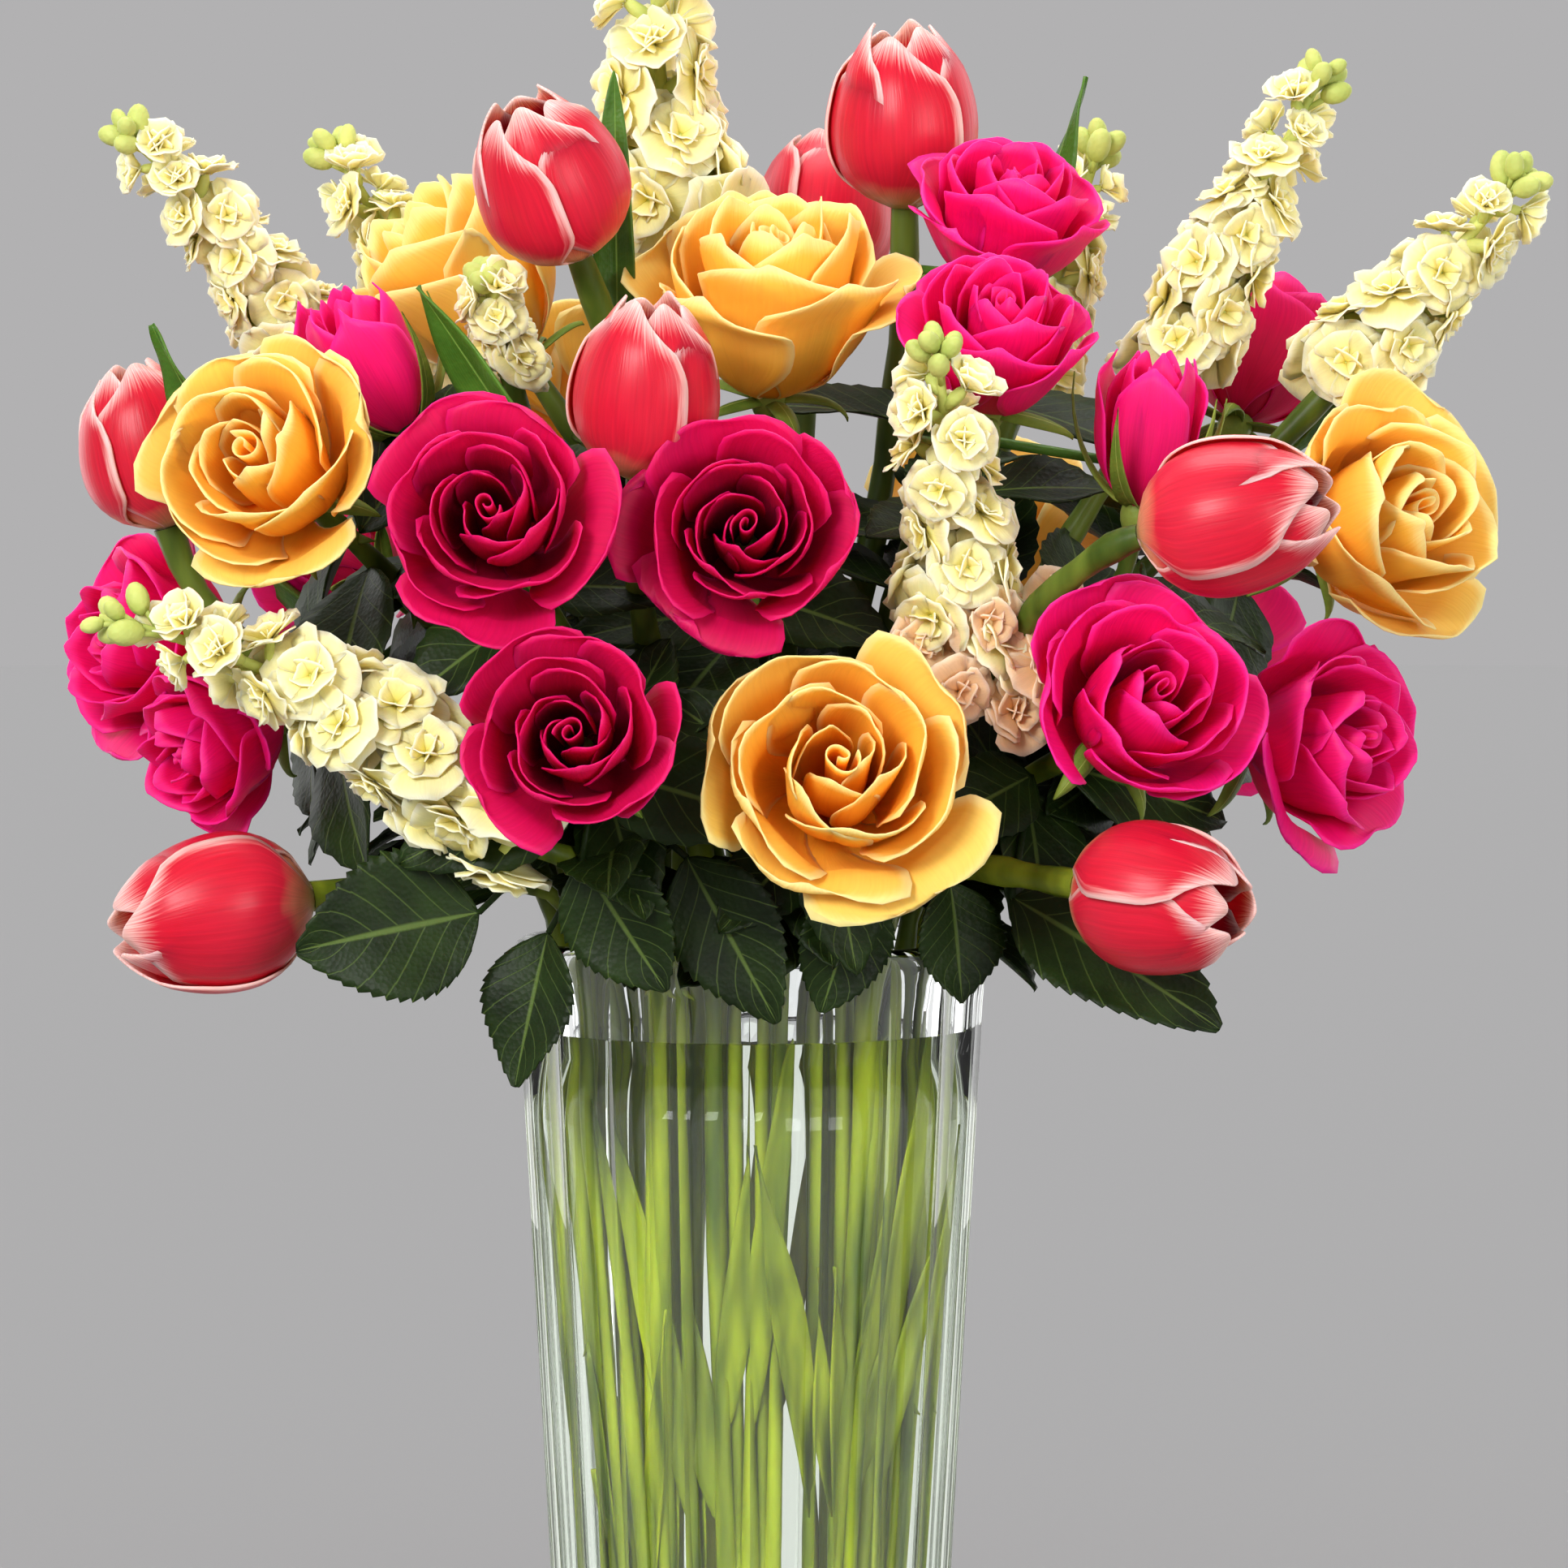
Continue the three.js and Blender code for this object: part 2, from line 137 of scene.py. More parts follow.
BOUQUET = (0, 0, 0.34)
lamp("key_lamp", (-1.3, -2.5, 1.5), BOUQUET, 1.0, 1.0, 80)
lamp("fill_lamp", (1.5, -2.4, 0.6), BOUQUET, 1.2, 1.2, 30)
lamp("left_strip", (-0.62, 0.52, 0.5), (0, 0, 0.2), 0.5, 1.0, 2.6)
lamp("right_strip", (0.62, 0.52, 0.5), (0, 0, 0.2), 0.5, 1.0, 2.6)
lamp("top_lamp", (0, 0.3, 1.7), BOUQUET, 1.0, 0.8, 14)

world = bpy.data.worlds.new("studio")
bpy.context.scene.world = world
world.use_nodes = True
air = world.node_tree
path = add_node(air, "ShaderNodeLightPath")
around = add_node(air, "ShaderNodeBackground", {"Color": paint("f4f4f4"), "Strength": 0.62})
bright = add_node(air, "ShaderNodeBackground", {"Color": paint("ffffff"), "Strength": 0.95})
behind = add_node(air, "ShaderNodeBackground", {"Color": paint("b2b1b2"), "Strength": 1.0})
through = add_node(
    air,
    "ShaderNodeMixShader",
    {0: path.outputs["Is Transmission Ray"], 1: around.outputs[0], 2: bright.outputs[0]},
)
both = add_node(
    air,
    "ShaderNodeMixShader",
    {0: path.outputs["Is Camera Ray"], 1: through.outputs[0], 2: behind.outputs[0]},
)
air.links.new(both.outputs[0], air.nodes["World Output"].inputs["Surface"])

# The vase ------------------------------------------------------------------------------------
# Heavy clear pressed crystal: a tall tapered tumbler with twenty hollow flutes cut down its
# outside between sharp ridges, a smooth bore, a polished rim and a thick solid foot.


def piece(name, bm, finish, stands_for=(), thickness=0.0):
    """Makes an object of bm, with its material, and rides it on the CAD body."""
    mesh = bpy.data.meshes.new(name)
    bm.to_mesh(mesh)
    bm.free()
    mesh.shade_smooth()
    mesh.materials.append(finish)
    made = bpy.data.objects.new(name, mesh)
    bpy.context.scene.collection.objects.link(made)
    lit.objects.link(made)
    if thickness:
        wall = made.modifiers.new("thickness", "SOLIDIFY")
        wall.thickness = thickness
        wall.offset = 0.0
    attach(made, "root")
    if stands_for:
        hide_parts(*stands_for)
    return made


def mix(a, b, share):
    return a + (b - a) * share


def clear_material(name, tint, ior):
    """A clear refracting material through which lamps reach what stands in it."""
    made, tree, shader = new_material(name, Roughness=0.0, IOR=ior)
    shader.inputs["Transmission Weight"].default_value = 1.0
    shader.inputs["Base Color"].default_value = paint(tint)
    path = add_node(tree, "ShaderNodeLightPath")
    through = add_node(tree, "ShaderNodeBsdfTransparent", {"Color": paint(tint)})
    both = add_node(
        tree,
        "ShaderNodeMixShader",
        {0: path.outputs["Is Shadow Ray"], 1: shader.outputs[0], 2: through.outputs[0]},
    )
    tree.links.new(both.outputs[0], tree.nodes["Material Output"].inputs["Surface"])
    return made


FLUTES = 20
FLUTE_STEPS = 10
FLUTE_DEPTH = 0.0025
VASE_WALL = 0.006
VASE_FLOOR = 0.022
VASE_LOW, VASE_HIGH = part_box("vase")
VASE_HEIGHT = VASE_HIGH.z
RIM_RADIUS = VASE_HIGH.x
FOOT_RADIUS = 0.057


def vase_radius(height):
    """The outside of the vase at a height, on its ridges."""
    return mix(FOOT_RADIUS, RIM_RADIUS, height / VASE_HEIGHT)


def lathe(bm, profile, steps):
    """Spins a line of (radius, height) points round the vase's axis into a closed body."""
    line = [bm.verts.new((r, 0, h)) for r, h in profile]
    edges = [bm.edges.new(pair) for pair in zip(line, line[1:])]
    bmesh.ops.spin(
        bm, geom=line + edges, angle=math.tau, steps=steps, axis=(0, 0, 1), cent=(0, 0, 0), use_merge=True
    )
    bmesh.ops.remove_doubles(bm, verts=bm.verts, dist=1e-6)
    bmesh.ops.recalc_face_normals(bm, faces=bm.faces)


outside_heights = [0.0032, 0.006, 0.012, 0.03, 0.06, 0.1, 0.14, 0.18, 0.21, 0.235, 0.243, 0.248, 0.2515]
bore = [(vase_radius(h) - VASE_WALL, h) for h in (0.2515, 0.24, 0.2, 0.15, 0.1, 0.06, 0.036)]
profile = (
    [(0, 0.0018), (0.03, 0.0018), (0.034, 0), (FOOT_RADIUS - 0.0035, 0), (FOOT_RADIUS - 0.001, 0.001)]
    + [(vase_radius(h), h) for h in outside_heights]
    + [(RIM_RADIUS - 0.0008, 0.2532), (RIM_RADIUS - 0.0025, VASE_HEIGHT), (RIM_RADIUS - 0.0045, 0.2535)]
    + bore
    + [(vase_radius(0.03) - VASE_WALL - 0.0012, 0.028), (0.045, 0.0235), (0.04, VASE_FLOOR), (0, VASE_FLOOR)]
)
bm = bmesh.new()
lathe(bm, profile, FLUTES * FLUTE_STEPS)
for v in bm.verts:
    radius = math.hypot(v.co.x, v.co.y)
    if radius > vase_radius(v.co.z) - 0.001 and 0.003 < v.co.z < 0.2525:
        # The flutes die away just under the rim and just above the foot.
        depth = FLUTE_DEPTH * min(1, (0.2525 - v.co.z) / 0.012, (v.co.z - 0.002) / 0.008)
        hollow = abs(math.sin(math.atan2(v.co.x, -v.co.y) * FLUTES / 2)) ** 0.8
        v.co.xy *= 1 - depth * hollow / radius
for edge in bm.edges:
    turns = [math.atan2(v.co.x, -v.co.y) * FLUTES / math.tau for v in edge.verts]
    on_ridge = all(abs(turn - round(turn)) < 0.01 for turn in turns)
    low, high = sorted(v.co.z for v in edge.verts)
    outer = all(math.hypot(v.co.x, v.co.y) > vase_radius(v.co.z) - 0.001 for v in edge.verts)
    edge.smooth = not (on_ridge and outer and high - low > 0.002)
glass = clear_material("crystal_glass", "fbfdfd", 1.5)
piece("fluted_vase", bm, glass, ["vase"])

# The water -----------------------------------------------------------------------------------
# Clean tap water, faintly green from the stems, filled to about 3 cm below the rim. It wets the
# glass, so its surface curls up a little where it meets the wall.
WATER_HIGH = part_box("water")[1].z
WET = 0.00015  # the water's skin lies this far inside the glass, so no air shows between them
water_wall = [(vase_radius(h) - VASE_WALL + WET, h) for h in (0.06, 0.1, 0.15, 0.2, WATER_HIGH + 0.0012)]
bm = bmesh.new()
lathe(
    bm,
    [(0, VASE_FLOOR - WET), (0.04, VASE_FLOOR - WET), (0.045 + WET, 0.0233)]
    + [(vase_radius(0.03) - VASE_WALL - 0.0012 + WET, 0.0278), (vase_radius(0.036) - VASE_WALL + WET, 0.036)]
    + water_wall
    + [(vase_radius(WATER_HIGH) - VASE_WALL - 0.0012, WATER_HIGH + 0.0003)]
    + [(vase_radius(WATER_HIGH) - VASE_WALL - 0.004, WATER_HIGH), (0, WATER_HIGH)],
    FLUTES * 4,
)
piece("vase_water", bm, clear_material("clear_water", "f6fbf0", 1.333), ["water"])

# The stems -----------------------------------------------------------------------------------
# Green stems of roses, tulips and stock. They stand on the vase's floor in eight bunches, lean out
# in its mouth and curve up behind their heads. Rose stems carry thorns and swollen leaf joints.
BUNCHES = {
    "front": [
        "rose_orange_top", "rose_orange_front", "rose_pink_front_middle", "tulip_middle",
    ],
    "front_right": [
        "rose_pink_front_right", "rose_pink_upper_middle", "tulip_right", "tulip_low_right",
        "stock_front_right",
    ],
    "right": [
        "rose_orange_right", "rose_pink_right", "rose_pink_upper_right", "rose_bud_right",
        "tulip_top", "stock_upper_right", "stock_far_right",
    ],
    "back_right": [
        "rose_orange_back_right", "rose_pink_far_right", "rose_pink_back_right", "stock_back_right",
    ],
    "back": ["rose_orange_back_left", "rose_pink_back", "tulip_back", "stock_top"],
    "back_left": ["rose_pink_back_left", "tulip_low_back", "stock_back_left"],
    "left": [
        "rose_orange_upper_left", "rose_bud_left", "rose_pink_far_left", "rose_pink_low_left",
        "tulip_far_left", "stock_upper_left", "stock_middle_left",
    ],
    "front_left": [
        "rose_orange_left", "rose_pink_front_left", "rose_pink_front_low", "tulip_upper_left",
        "tulip_low_left", "stock_low_left",
    ],
}
FOOT_RING = 0.031
FOOT_PACKING = 0.8 * 0.0032
MOUTH_HEIGHT = 0.250
MOUTH_RADIUS = 0.057
MOUTH_REACH = 0.150
MOUTH_MARGIN = 0.0044
STEM_RADIUS = {"rose": 0.0032, "tulip": 0.0041, "stock": 0.0036}
SHORT_APPROACH = {"tulip_right": 0.022}


class Head:
    """Where a flower head's solid stands: its base, its axis, its length, radius and bow."""

    def __init__(self, name):
        solid = bmesh.new()
        solid.from_mesh(nodes[name].data)
        bmesh.ops.remove_doubles(solid, verts=solid.verts, dist=1e-5)
        # The solid is turned about an axis, so its two poles are where most edges meet.
        poles = sorted(solid.verts, key=lambda v: -len(v.link_edges))[:2]
        poles.sort(key=lambda v: (v.co - Vector((0, 0, MOUTH_HEIGHT))).length)
        self.name = name
        self.kind = name.split("_")[0]
        self.base = poles[0].co.copy()
        self.axis = (poles[1].co - poles[0].co).normalized()
        self.length = (poles[1].co - poles[0].co).length
        middle = sum((v.co for v in solid.verts), Vector()) / len(solid.verts)
        self.bow = middle - self.base - self.axis * (middle - self.base).dot(self.axis)
        reaches = [(v.co - self.base).cross(self.axis).length for v in solid.verts]
        self.radius = max(reaches) - self.bow.length * 1.4
        self.place = Matrix.Translation(self.base) @ self.axis.to_track_quat("Z", "Y").to_matrix().to_4x4()
        solid.free()


heads = {name: Head(name) for names in BUNCHES.values() for name in names}


def stem_points(bunch, name):
    """The line that a flower's stem follows, from its foot to its head."""
    head = heads[name]
    members = BUNCHES[bunch]
    middle = (list(BUNCHES).index(bunch) - 2) * math.tau / len(BUNCHES)
    turn = middle + members.index(name) * math.tau / len(members)
    packed = FOOT_PACKING / math.sin(math.pi / len(members))
    foot = Vector(
        (
            FOOT_RING * math.cos(middle) + packed * math.cos(turn),
            FOOT_RING * math.sin(middle) + packed * math.sin(turn),
            VASE_FLOOR + 0.0008,
        )
    )
    away = math.hypot(head.base.x, head.base.y)
    lean = MOUTH_RADIUS * min(1, away / MOUTH_REACH)
    share = max(0, math.pi / len(BUNCHES) - math.asin(min(1, MOUTH_MARGIN / lean)))
    aside = math.remainder(math.atan2(head.base.y, head.base.x) - middle, math.tau)
    angle = middle + max(-share, min(share, aside))
    mouth = Vector((lean * math.cos(angle), lean * math.sin(angle), MOUTH_HEIGHT))
    rise = (head.base - mouth).length * 0.4
    onward = mouth + (mouth - foot).normalized() * rise
    approach = head.base - head.axis * SHORT_APPROACH.get(name, rise)
    points = [foot.lerp(mouth, i / 8) for i in range(8)]
    for i in range(19):
        t = i / 18
        s = 1 - t
        points.append(
            mouth * s**3 + onward * 3 * s * s * t + approach * 3 * s * t * t + head.base * t**3
        )
    return points


def tubes(name, lines):
    """A mesh of round tubes, each along a line of (point, radius), with closed ends."""
    curve = bpy.data.curves.new(name, "CURVE")
    curve.dimensions = "3D"
    curve.bevel_depth = 1.0
    curve.bevel_resolution = 3
    curve.use_fill_caps = True
    for line in lines:
        spline = curve.splines.new("POLY")
        spline.points.add(len(line) - 1)
        for point, (place, radius) in zip(spline.points, line):
            point.co = (*place, 1)
            point.radius = radius
    shape = bpy.data.objects.new(name, curve)
    bpy.context.scene.collection.objects.link(shape)
    bpy.context.view_layer.update()
    made = bpy.data.meshes.new_from_object(shape.evaluated_get(bpy.context.evaluated_depsgraph_get()))
    bpy.data.objects.remove(shape)
    bm = bmesh.new()
    bm.from_mesh(made)
    bpy.data.meshes.remove(made)
    for layer in list(bm.loops.layers.uv.values()):
        bm.loops.layers.uv.remove(layer)
    return bm


def stem_material():
    """Fresh stem: bright yellow-green under water, deeper green above, with fine long fibres."""
    made, tree, shader = new_material("flower_stem", Roughness=0.42)
    shader.inputs["Specular IOR Level"].default_value = 0.2
    shader.inputs["Subsurface Weight"].default_value = 0.15
    shader.inputs["Subsurface Scale"].default_value = 0.003
    place = add_node(tree, "ShaderNodeTexCoord").outputs["Object"]
    height = add_node(tree, "ShaderNodeSeparateXYZ", {0: place}).outputs["Z"]
    level = add_node(
        tree, "ShaderNodeMapRange", {"Value": height, "From Min": 0.20, "From Max": 0.36}
    ).outputs["Result"]
    squeezed = add_node(tree, "ShaderNodeMapping", {"Vector": place, "Scale": (260, 260, 9)})
    fibres = add_node(tree, "ShaderNodeTexNoise", {"Vector": squeezed.outputs[0], "Scale": 1.0, "Detail": 3.0})
    stretched = add_node(tree, "ShaderNodeMapping", {"Vector": place, "Scale": (90, 90, 12)})
    broad = add_node(tree, "ShaderNodeTexNoise", {"Vector": stretched.outputs[0], "Scale": 1.0, "Detail": 2.0})
    wet = add_node(tree, "ShaderNodeValToRGB", {"Fac": broad.outputs["Fac"]})
    wet.color_ramp.elements[0].position = 0.32
    wet.color_ramp.elements[0].color = paint("3a4a02")
    wet.color_ramp.elements[1].position = 0.68
    wet.color_ramp.elements[1].color = paint("929c12")
    dry = add_node(tree, "ShaderNodeValToRGB", {"Fac": broad.outputs["Fac"]})
    dry.color_ramp.elements[0].position = 0.3
    dry.color_ramp.elements[0].color = paint("2f440f")
    dry.color_ramp.elements[1].position = 0.7
    dry.color_ramp.elements[1].color = paint("66782a")
    tone = add_node(tree, "ShaderNodeMix", {0: level, 6: wet.outputs[0], 7: dry.outputs[0]}, data_type="RGBA")
    shade = add_node(
        tree, "ShaderNodeMapRange", {"Value": fibres.outputs["Fac"], "To Min": 0.72, "To Max": 1.2}
    )
    fibred = add_node(
        tree,
        "ShaderNodeMix",
        {0: 1.0, 6: tone.outputs[2], 7: shade.outputs["Result"]},
        data_type="RGBA",
        blend_type="MULTIPLY",
    )
    tree.links.new(fibred.outputs[2], shader.inputs["Base Color"])
    bump = add_node(tree, "ShaderNodeBump", {"Height": fibres.outputs["Fac"], "Strength": 0.35, "Distance": 0.0006})
    tree.links.new(bump.outputs[0], shader.inputs["Normal"])
    return made


stem_green = stem_material()
stem_lines = {}
chance = random.Random(11)
for bunch, members in BUNCHES.items():
    lines = []
    for name in members:
        points = stem_points(bunch, name)
        stem_lines[name] = points
        radius = STEM_RADIUS[heads[name].kind]
        last = len(points) - 1
        joint = 10 + chance.randrange(3)
        line = []
        for i, point in enumerate(points):
            wide = 1.0 + 0.12 * math.sin(i * 1.7 + len(name))
            if heads[name].kind == "rose" and i % 6 == joint % 6:
                wide += 0.28
            if i > last - 3 and heads[name].kind == "rose":
                wide -= 0.1
            line.append((point, radius * wide))
        lines.append(line)
    bm = tubes("stems", lines)
    for name in members:
        if heads[name].kind != "rose":
            continue
        for i in range(3, 24, 4):
            start, following = stem_lines[name][i], stem_lines[name][i + 1]
            along = (following - start).normalized()
            out = along.orthogonal().normalized()
            out.rotate(Matrix.Rotation(chance.uniform(0, math.tau), 3, along))
            spot = start.lerp(following, chance.random()) + out * STEM_RADIUS["rose"]
            lean_down = (out - along * 0.55).to_track_quat("Z", "Y").to_matrix().to_4x4()
            bmesh.ops.create_cone(
                bm,
                cap_ends=True,
                segments=8,
                radius1=0.0016,
                radius2=0.0001,
                depth=0.0052,
                matrix=Matrix.Translation(spot) @ lean_down @ Matrix.Translation((0, 0, 0.0018)),
            )
    bmesh.ops.recalc_face_normals(bm, faces=bm.faces)
    piece(f"{bunch}_flower_stems", bm, stem_green, [f"stems_{bunch}"])

# The roses -----------------------------------------------------------------------------------
# Each bloom is some thirty thin velvety petals wrapped in a spiral. The heart is rolled tight, and
# the outer petals cup it with their lips rolled back to blunt points. Two are still buds.


def new_flower():
    """An empty bmesh with the petals' UV map and tone, which is 0 at the heart and 1 outside."""
    bm = bmesh.new()
    bm.loops.layers.uv.new("petal")
    bm.verts.layers.float.new("tone")
    return bm


def add_sheet(bm, columns, rows, shape, place, tone=0.0):
    """Adds a thin sheet: shape(across, along) places each point, across -1 to 1, along 0 to 1."""
    made = bmesh.ops.create_grid(bm, x_segments=columns, y_segments=rows, size=1.0, calc_uvs=True)
    layer = bm.verts.layers.float["tone"]
    for v in made["verts"]:
        v[layer] = tone
        v.co = place @ shape(v.co.x, (v.co.y + 1) / 2)


def ease(value):
    value = max(0.0, min(1.0, value))
    return value * value * (3 - 2 * value)


def along_line(points, share):
    """The value at share on a smooth line through points given as (share, value)."""
    for i in range(len(points) - 1):
        if share <= points[i + 1][0] or i == len(points) - 2:
            (a, low), (b, high) = points[i], points[i + 1]
            before = points[i - 1] if i else points[0]
            after = points[i + 2] if i + 2 < len(points) else points[-1]
            slope_in = (high - before[1]) / max(1e-6, b - before[0]) * (b - a)
            slope_out = (after[1] - low) / max(1e-6, after[0] - a) * (b - a)
            t = min(1.0, max(0.0, (share - a) / (b - a)))
            return (
                low * (2 * t**3 - 3 * t**2 + 1)
                + slope_in * (t**3 - 2 * t**2 + t)
                + high * (3 * t**2 - 2 * t**3)
                + slope_out * (t**3 - t**2)
            )


def around_axis(angle, radius, height):
    return Vector((radius * math.cos(angle), radius * math.sin(angle), height))


def turned_to(spot, way):
    return Matrix.Translation(spot) @ way.to_track_quat("Z", "Y").to_matrix().to_4x4()


def rose_petal(radius, length, age, turn, openness, chance):
    """One petal's shape. age is 0 for the innermost petal and 1 for the outermost."""
    half = mix(1.25, 0.84, age) * chance.uniform(0.93, 1.07)
    lip = radius * mix(0.13, mix(0.60, 0.90, openness), age**1.35)
    belly = radius * mix(0.20, mix(0.78, 0.70, openness), age**0.9)
    top = length * along_line([(0, 0.86), (0.3, 0.96), (0.6, 0.94), (1, mix(0.94, 0.74, openness))], age)
    top *= chance.uniform(0.97, 1.03)
    curl = radius * mix(0.03, 0.17, age) * mix(0.3, 1.0, openness) * chance.uniform(0.45, 1.35)
    bend = mix(0.7, 2.3, age) * chance.uniform(0.75, 1.15)
    tuck = radius * mix(0.075, 0.05, age) * chance.uniform(0.7, 1.3)
    phase = chance.uniform(0, math.tau)
    point = 0.05 * age * chance.uniform(0.2, 1.3)

    def shape(across, along):
        rise = along * (1 - 0.11 * across**2 - 0.07 * across**4 + point * max(0, 1 - 3.5 * abs(across)))
        width = half * (0.38 + 0.62 * ease(rise / 0.55)) * (1 - 0.5 * max(0, (rise - 0.62) / 0.38) ** 2)
        out = 0.1 * radius * (1 - rise) ** 2 + 2.6 * rise * (1 - rise) * belly + rise**2 * lip
        roll = max(0.0, (rise - 0.70) / 0.30) * bend
        out += curl * math.sin(roll) + curl * 0.5 * abs(across) ** 3 * rise
        out += tuck * across * ease(rise * 1.6)
        out += radius * 0.02 * math.sin(across * 4.3 + phase) * rise**3 * age
        wobble = noise.noise(Vector((across * 1.2 + phase * 5, rise * 1.5, age * 9)))
        out += radius * mix(0.03, 0.10, age) * wobble * ease(rise * 2)
        height = top * rise**1.3 - curl * (1 - math.cos(roll))
        height += radius * 0.014 * math.sin(across * 6.1 + phase * 2) * rise**4
        return around_axis(turn + across * width, out, height)

    return shape


def rose_heart(radius, length, turn):
    """The tight roll in the middle of a rose: one strip wound round nearly twice."""

    def shape(across, along):
        wound = (across + 1) / 2
        out = radius * (0.02 + 0.10 * wound) * (0.75 + 0.35 * along) * (1 + 0.2 * math.sin(wound * 19 + turn))
        height = length * (0.30 + (0.52 + 0.04 * math.sin(wound * 8)) * along)
        return around_axis(turn + wound * 2.9 * math.pi, out, height)

    return shape


def rose_bloom(head, petals, openness, chance):
    bm = new_flower()
    turn = chance.uniform(0, math.tau)
    add_sheet(bm, 46, 4, rose_heart(head.radius, head.length, turn), head.place, 0.0)
    for i in range(petals):
        age = (i + 1) / petals
        turn += math.radians(137.5) + chance.uniform(-0.16, 0.16)
        detail = 9 + round(5 * age)
        shape = rose_petal(head.radius, head.length, age, turn, openness, chance)
        add_sheet(bm, detail, detail, shape, head.place, age)
    return bm


def petal_material(name, tones, margin, roughness, fibre):
    """Petal: its colour runs from the claw to the lip and from the heart outwards, with a paler
    margin and fine veins along its length."""
    made, tree, shader = new_material(name, Roughness=roughness)
    shader.inputs["Specular IOR Level"].default_value = 0.25
    shader.inputs["Subsurface Weight"].default_value = 0.4
    shader.inputs["Subsurface Radius"].default_value = (1.0, 0.6, 0.4)
    shader.inputs["Subsurface Scale"].default_value = 0.005
    spot = add_node(tree, "ShaderNodeUVMap", uv_map="petal").outputs[0]
    parts = add_node(tree, "ShaderNodeSeparateXYZ", {0: spot})
    tone = add_node(tree, "ShaderNodeAttribute", attribute_name="tone").outputs["Fac"]
    veins_at = add_node(tree, "ShaderNodeMapping", {"Vector": spot, "Scale": (46, 2.2, 1)})
    veins = add_node(tree, "ShaderNodeTexNoise", {"Vector": veins_at.outputs[0], "Scale": 1.0, "Detail": 3.0})
    place = add_node(tree, "ShaderNodeTexCoord").outputs["Object"]
    blotch = add_node(tree, "ShaderNodeTexNoise", {"Vector": place, "Scale": 55.0, "Detail": 2.0})
    along = add_node(tree, "ShaderNodeMath", {0: parts.outputs["Y"], 1: 0.62}, operation="MULTIPLY")
    aged = add_node(tree, "ShaderNodeMath", {0: tone, 1: 0.38, 2: along.outputs[0]}, operation="MULTIPLY_ADD")
    uneven = add_node(
        tree, "ShaderNodeMath", {0: blotch.outputs["Fac"], 1: 0.16, 2: aged.outputs[0]}, operation="MULTIPLY_ADD"
    )
    level = add_node(tree, "ShaderNodeMath", {0: uneven.outputs[0], 1: 0.08}, operation="SUBTRACT")
    body = add_node(tree, "ShaderNodeValToRGB", {"Fac": level.outputs[0]})
    stops = body.color_ramp.elements
    while len(stops) < len(tones):
        stops.new(0.5)
    for stop, (position, code) in zip(stops, tones):
        stop.position = position
        stop.color = paint(code)
    centred = add_node(tree, "ShaderNodeMath", {0: parts.outputs["X"], 1: 0.5}, operation="SUBTRACT")
    side = add_node(tree, "ShaderNodeMath", {0: centred.outputs[0]}, operation="ABSOLUTE")
    sided = add_node(tree, "ShaderNodeMath", {0: side.outputs[0], 1: 2.0}, operation="MULTIPLY")
    rim = add_node(tree, "ShaderNodeMath", {0: sided.outputs[0], 1: parts.outputs["Y"]}, operation="MAXIMUM")
    frayed = add_node(
        tree, "ShaderNodeMath", {0: veins.outputs["Fac"], 1: margin[2], 2: rim.outputs[0]}, operation="MULTIPLY_ADD"
    )
    edge = add_node(
        tree,
        "ShaderNodeMapRange",
        {"Value": frayed.outputs[0], "From Min": margin[1], "From Max": 1.0 + margin[2] * 0.6, "To Max": margin[3]},
        interpolation_type="SMOOTHSTEP",
    )
    rimmed = add_node(
        tree,
        "ShaderNodeMix",
        {0: edge.outputs[0], 6: body.outputs[0], 7: paint(margin[0])},
        data_type="RGBA",
    )
    shade = add_node(
        tree,
        "ShaderNodeMapRange",
        {"Value": veins.outputs["Fac"], "From Min": 0.25, "From Max": 0.75, "To Min": 1 - fibre, "To Max": 1 + fibre},
    )
    veined = add_node(
        tree,
        "ShaderNodeMix",
        {0: 1.0, 6: rimmed.outputs[2], 7: shade.outputs["Result"]},
        data_type="RGBA",
        blend_type="MULTIPLY",
    )
    tree.links.new(veined.outputs[2], shader.inputs["Base Color"])
    bump = add_node(tree, "ShaderNodeBump", {"Height": veins.outputs["Fac"], "Strength": 0.25, "Distance": 0.0005})
    tree.links.new(bump.outputs[0], shader.inputs["Normal"])
    return made


PETAL_THICKNESS = 0.00045
orange_petal = petal_material(
    "orange_rose_petal",
    [(0.0, "ff6e08"), (0.22, "ff8c14"), (0.45, "ffa226"), (0.7, "ffb640"), (1.0, "ffca62")],
    ("ffe394", 0.90, 0.05, 0.8),
    0.55,
    0.05,
)
crimson_petal = petal_material(
    "crimson_rose_petal",
    [(0.0, "52000e"), (0.3, "8f0026"), (0.6, "b8023c"), (1.0, "d20350")],
    ("e60a68", 0.92, 0.05, 0.6),
    0.55,
    0.1,
)
pink_petal = petal_material(
    "pink_rose_petal",
    [(0.0, "8c0020"), (0.3, "c4003e"), (0.6, "e20256"), (1.0, "f20874")],
    ("fb1c8c", 0.90, 0.05, 0.6),
    0.55,
    0.1,
)
DEEP_ROSES = {"rose_pink_front_left", "rose_pink_front_middle", "rose_pink_front_low", "rose_pink_back"}
roses = [head for head in heads.values() if head.kind == "rose"]
for number, head in enumerate(roses):
    chance = random.Random(100 + number)
    bud = head.name.startswith("rose_bud")
    bm = rose_bloom(head, 11 if bud else 19, 0.1 if bud else 1.0, chance)
    if head.name.startswith("rose_orange"):
        finish, slot = orange_petal, "orange_rose_petal"
    else:
        finish, slot = (crimson_petal if head.name in DEEP_ROSES else pink_petal), "pink_rose_petal"
    piece(f"{head.name}_petals", bm, finish, [head.name], PETAL_THICKNESS)

